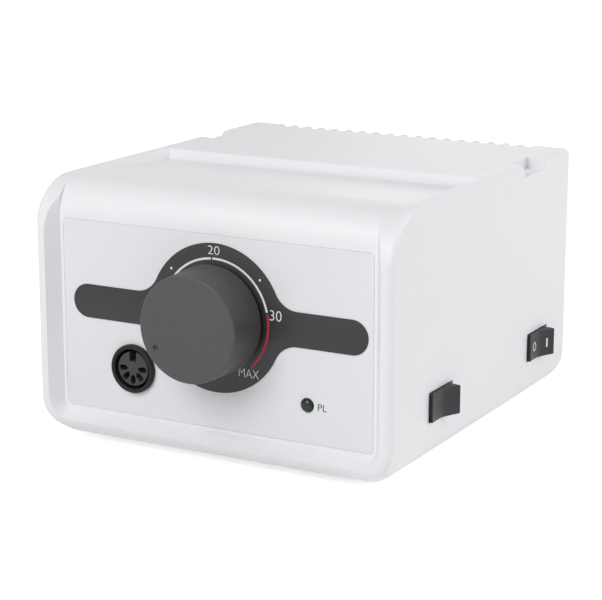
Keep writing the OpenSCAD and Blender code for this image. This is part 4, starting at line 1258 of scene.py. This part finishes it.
@dataclass
class BackFittings:
    """Mains inlet, fuse holder and pedal jack on the back, with spans from the back's face."""

    kit: Kit
    flange: Point = (31.0, 25.0)
    flange_span: Point = (0.0, 2.0)
    core: Point = (27.6, 19.8)
    core_span: Point = (-18.0, 0.5)
    recess: Point = (24.4, 16.6)
    recess_span: Point = (-14.0, 4.0)
    gap: Point = (2.1, 4.1)
    gap_span: Point = (-20.0, -10.0)
    blade: Point = (2.0, 4.0)
    blade_span: Point = (-19.5, 0.0)
    cap_r: float = 5.75
    cap_span: Point = (1.9, 7.9)
    ribs: int = 24
    rib_h: float = 0.2
    rib_steps: int = 8
    stem_r: float = 4.0
    stem_span: Point = (-7.1, 2.4)
    fuse_bore_r: float = 2.65
    fuse_bore_span: Point = (-9.0, -3.1)
    slot: Point = (9.0, 0.7)
    slot_span: Point = (6.3, 9.0)
    jack: Point = (15.0, 15.0)
    jack_span: Point = (-28.8, -2.8)
    jack_bore_r: float = 3.2
    jack_bore_span: Point = (-24.8, 0.0)
    nut_r: float = 6.5
    nut_span: Point = (0.0, 2.4)
    nut_hole_r: float = 4.55
    nut_hole_span: Point = (-1.0, 4.0)

    BLADES = ((-7, 0), (7, 0), (0, 4))
    HOLDER = (
        (4.1, -26.0), (4.1, 1.6), (7.1, 1.6), (7.4, 1.45), (7.5, 1.1), (7.5, 0.0),
        (6.0, 0.0), (6.0, -28.0), (0.02, -28.0), (0.02, -26.0),
    )
    MOUTH = ((3.2, -2.8), (3.2, 3.2), (3.5, 3.6), (4.2, 3.6), (4.5, 3.3), (4.5, -2.8))

    def slab(self, outline: Profile, span: Point, into: Shape | None = None) -> Shape:
        """Draws an outline into a slab over a span, as a shape of its own or into another."""
        low, high = (LAYOUT.y_back + place for place in span)
        return (into or Shape()).slab(outline, low, high)

    def add_inlet(self) -> None:
        """Makes the mains inlet and its pins."""
        x, z = LAYOUT.inlet_at
        flange = self.slab(round_rect((x, z), self.flange, 3.0), self.flange_span).soften(0.5)
        core = self.slab(round_rect((x, z), self.core, 1.0, 3), self.core_span)
        recess = self.slab(round_rect((x, z), self.recess, 1.6), self.recess_span)
        gaps, pins = Shape(), Shape()
        for across, up in self.BLADES:
            spot = (x + across, z + up)
            self.slab(round_rect(spot, self.gap, 0.2, 3), self.gap_span, gaps)
            self.slab(round_rect(spot, self.blade, 0.3, 3), self.blade_span, pins)
        inlet = ("inlet_body", flange, "black_plastic", ["mains_inlet"])
        self.kit.add(*inlet, cuts=[recess, gaps], join=core)
        self.kit.add("inlet_blades", pins.soften(0.35, 2, 60), "nickel", ["inlet_pins"])

    def add_fuse(self) -> None:
        """Makes the fuse holder's ring and its ribbed cap."""
        x, z = LAYOUT.fuse_at
        ring = Shape().lathe(self.HOLDER, (x, z), LAYOUT.y_back, close=True)
        self.kit.add("fuse_ring", ring, "black_plastic", ["fuse_holder"])
        rim = []
        for i in range(self.ribs * self.rib_steps):
            wave = math.cos(2 * math.pi * i / self.rib_steps)
            turn = 360 * i / (self.ribs * self.rib_steps)
            rim.append(polar((x, z), self.cap_r + self.rib_h * wave, turn))
        cap = self.slab(rim, self.cap_span).soften(0.35, 2, 60)
        stem = self.slab(disc((x, z), self.stem_r, 64), self.stem_span)
        cuts = self.slab(disc((x, z), self.fuse_bore_r, 48), self.fuse_bore_span)
        a, b = self.slot
        slot = [(x - a, z - b), (x + a, z - b), (x + a, z + b), (x - a, z + b)]
        self.slab(slot, self.slot_span, cuts)
        knob = ("fuse_knob", cap, "black_plastic", ["fuse_cap"], Body.FUSE)
        self.kit.add(*knob, cuts=[cuts], join=stem)

    def add_jack(self) -> None:
        """Makes the pedal jack and its nut."""
        at = LAYOUT.jack_at
        block = self.slab(round_rect(at, self.jack, 1.2, 4), self.jack_span).soften(0.4, 2)
        bore = self.slab(disc(at, self.jack_bore_r, 64), self.jack_bore_span)
        self.kit.add("jack_block", block, "black_plastic", ["pedal_jack"], cuts=[bore])
        mouth = Shape().lathe(self.MOUTH, at, LAYOUT.y_back, close=True)
        self.kit.add("jack_mouth", mouth, "black_plastic")
        nut = self.slab(disc(at, self.nut_r, 6), self.nut_span).soften(0.35)
        hole = self.slab(disc(at, self.nut_hole_r, 64), self.nut_hole_span)
        self.kit.add("jack_nut", nut, "nickel", ["pedal_nut"], cuts=[hole])

    def build(self) -> None:
        """Makes the fittings and hands them in."""
        for add in (self.add_inlet, self.add_fuse, self.add_jack):
            add()


@dataclass
class Base:
    """Base plate, its screws and the feet."""

    kit: Kit
    size: Point = (112.6, 133.6)
    corner_r: float = 4.8
    low: float = 0.2
    edge: float = 0.35
    screw_at: Point = (52.9, 63.4)
    foot_at: Point = (40.5, 51.0)
    core_holes: Profile = ((-22.0, 45.8), (-22.0, 119.2))
    core_r: float = 1.35

    SUNK = ((2.56, 0.1), (2.55, 0.2), (1.35, 1.4), (1.35, 3.2))
    SCREW = (
        (0.5, 0.5), (0.55, 0.22), (2.3, 0.2), (2.48, 0.24),
        (1.3, 1.4), (1.3, 10.2), (0.6, 11.0),
    )
    PAD = (
        (1.2, -2.6), (3.2, -2.6), (3.7, -3.0), (5.3, -3.0),
        (5.75, -2.85), (6.0, -2.4), (6.0, 0.2),
    )

    def build(self) -> None:
        """Makes the pieces and hands them in."""
        x, y = LAYOUT.base_at
        outline = round_rect((x, y), self.size, self.corner_r)
        plate = Shape().slab(outline, self.low, LAYOUT.base_top, Plane.XY).soften(self.edge)
        cuts, screws, feet = Shape(), Shape(), Shape()
        for sx, sy in ((-1, -1), (-1, 1), (1, -1), (1, 1)):
            spot = (x + sx * self.screw_at[0], y + sy * self.screw_at[1])
            cuts.lathe(self.SUNK, spot, plane=Plane.XY, steps=40)
            screws.lathe(self.SCREW, spot, plane=Plane.XY, steps=40)
            foot = (x + sx * self.foot_at[0], y + sy * self.foot_at[1])
            feet.lathe(self.PAD, foot, plane=Plane.XY, steps=56)
        for middle in self.core_holes:
            cuts.slab(disc(middle, self.core_r, 32), -1, 4, Plane.XY)
        self.kit.add("base_panel", plate, "case_white", ["base_plate"], cuts=[cuts])
        self.kit.add("base_fixings", screws, "steel", ["base_screws"])
        self.kit.add("foot_pads", feet, "foot_rubber", ["rubber_feet"])


@dataclass
class Inside:
    """The pieces inside the case, carried over from the frame."""

    kit: Kit

    def build(self) -> None:
        """Gives each shown node of the frame its finish."""
        slots = {s["node"]: s["material_slot"] for s in frame["record"]["subparts"]}
        for name, obj in frame["nodes"].items():
            if not obj.hide_render:
                self.kit.paint(obj, slots[name])


@dataclass
class Studio:
    """Camera, lights, floor and background."""

    eye: tuple[float, float, float] = (331.0, -537.0, 209.4)
    azimuth: float = 28.99
    elevation: float = 13.81
    lens: float = 117.19
    sensor: float = 36.0
    clip: Point = (0.01, 20.0)
    middle: tuple[float, float, float] = (0.0, 0.0, 0.045)
    white: tuple[float, ...] = (1.0, 1.0, 1.0, 1.0)
    fill: tuple[float, ...] = (0.95, 0.95, 0.975, 1.0)
    fill_strength: float = 0.36
    floor_size: float = 6.0
    floor_colour: tuple[float, ...] = (0.9, 0.9, 0.9, 1.0)
    floor_roughness: float = 0.9
    floor_lift: float = 0.64

    LIGHTS = (
        ("key", (-0.15, -1.2, 0.95), (0.9, 0.9), 13.0),
        ("right", (1.2, 0.6, 0.6), (0.9, 0.9), 8.7),
        ("rear", (-0.2, 1.6, 0.28), (1.2, 0.4), 1.8),
    )

    def camera(self) -> None:
        """Sets the camera at the photograph's view."""
        data = bpy.data.cameras.new("view")
        data.lens, data.sensor_width = self.lens, self.sensor
        data.clip_start, data.clip_end = self.clip
        camera = show("view", data)
        a, e = math.radians(self.azimuth), math.radians(self.elevation)
        back = Vector((math.sin(a) * math.cos(e), -math.cos(a) * math.cos(e), math.sin(e)))
        camera.location = LAYOUT.to_row() @ Vector(self.eye)
        camera.rotation_euler = (-back).to_track_quat("-Z", "Y").to_euler()
        bpy.context.scene.camera = camera

    def area(self, name: str, place: Sequence[float], size: Point, power: float) -> None:
        """Hangs one soft light that points at the part.

        Args:
            name: The light's name.
            place: Where it hangs, in metres.
            size: Its width and height.
            power: Its power in watts.
        """
        data = bpy.data.lights.new(name, "AREA")
        data.shape = "RECTANGLE"
        data.size, data.size_y = size
        data.energy = power
        light = show(name, data)
        light.location = place
        way = Vector(self.middle) - Vector(place)
        light.rotation_euler = way.to_track_quat("-Z", "Y").to_euler()

    def world(self) -> None:
        """Makes the background white to the camera and a soft fill for the rest."""
        world = bpy.data.worlds.new("studio")
        bpy.context.scene.world = world
        world.use_nodes = True
        kinds = SEEN_KINDS | {"plain": "Background", "choose": "MixShader"}
        values = {
            "Background.Color": self.fill,
            "Background.Strength": self.fill_strength,
            "plain.Color": self.white,
            "plain.Strength": 1.0,
        }
        links = ["seen.0 > choose.Fac", "Background.0 > choose.1", "plain.0 > choose.2"]
        links.append("choose.0 > World Output.Surface")
        wire(world.node_tree, kinds, values, [*SEEN_LINKS, *links])

    def floor(self) -> None:
        """Lays a white floor that keeps the shadow."""
        shape = bmesh.new()
        bmesh.ops.create_grid(shape, x_segments=1, y_segments=1, size=self.floor_size)
        mesh = bpy.data.meshes.new("floor")
        shape.to_mesh(mesh)
        shape.free()
        floor = show("floor", mesh)
        made = bpy.data.materials.new("floor")
        made.use_nodes = True
        values = {
            f"{SHADER}.Base Color": self.floor_colour,
            f"{SHADER}.Roughness": self.floor_roughness,
            f"{SHADER}.Specular IOR Level": 0.0,
            f"{SHADER}.Emission Color": self.white,
            "lift.1": self.floor_lift,
        }
        links = [*SEEN_LINKS, "seen.0 > lift.0", f"lift.0 > {SHADER}.Emission Strength"]
        wire(made.node_tree, SEEN_KINDS | {"lift": "Math:MULTIPLY"}, values, links)
        mesh.materials.append(made)

    def build(self) -> None:
        """Sets up the studio."""
        bpy.context.scene.view_settings.view_transform = "Standard"
        self.camera()
        self.world()
        self.floor()
        for light in self.LIGHTS:
            self.area(*light)


def main() -> None:
    """Builds the whole scene."""
    logging.basicConfig(level=logging.INFO)
    kit = Kit()
    builders: list[Callable[[], None]] = [
        CaseShell(kit).build,
        FrontPanel(kit).build,
        SpeedKnob(kit).build,
        HandpieceSocket(kit).build,
        PilotLamp(kit).build,
        RockerSwitch(kit, LAYOUT.direction_at, Body.DIRECTION, marked=False).build,
        RockerSwitch(kit, LAYOUT.power_at, Body.POWER, marked=True).build,
        BackFittings(kit).build,
        Base(kit).build,
        Inside(kit).build,
        Studio().build,
    ]
    for build in builders:
        build()
        LOG.info("built %s", build.__qualname__)


if __name__ == "__main__":
    main()
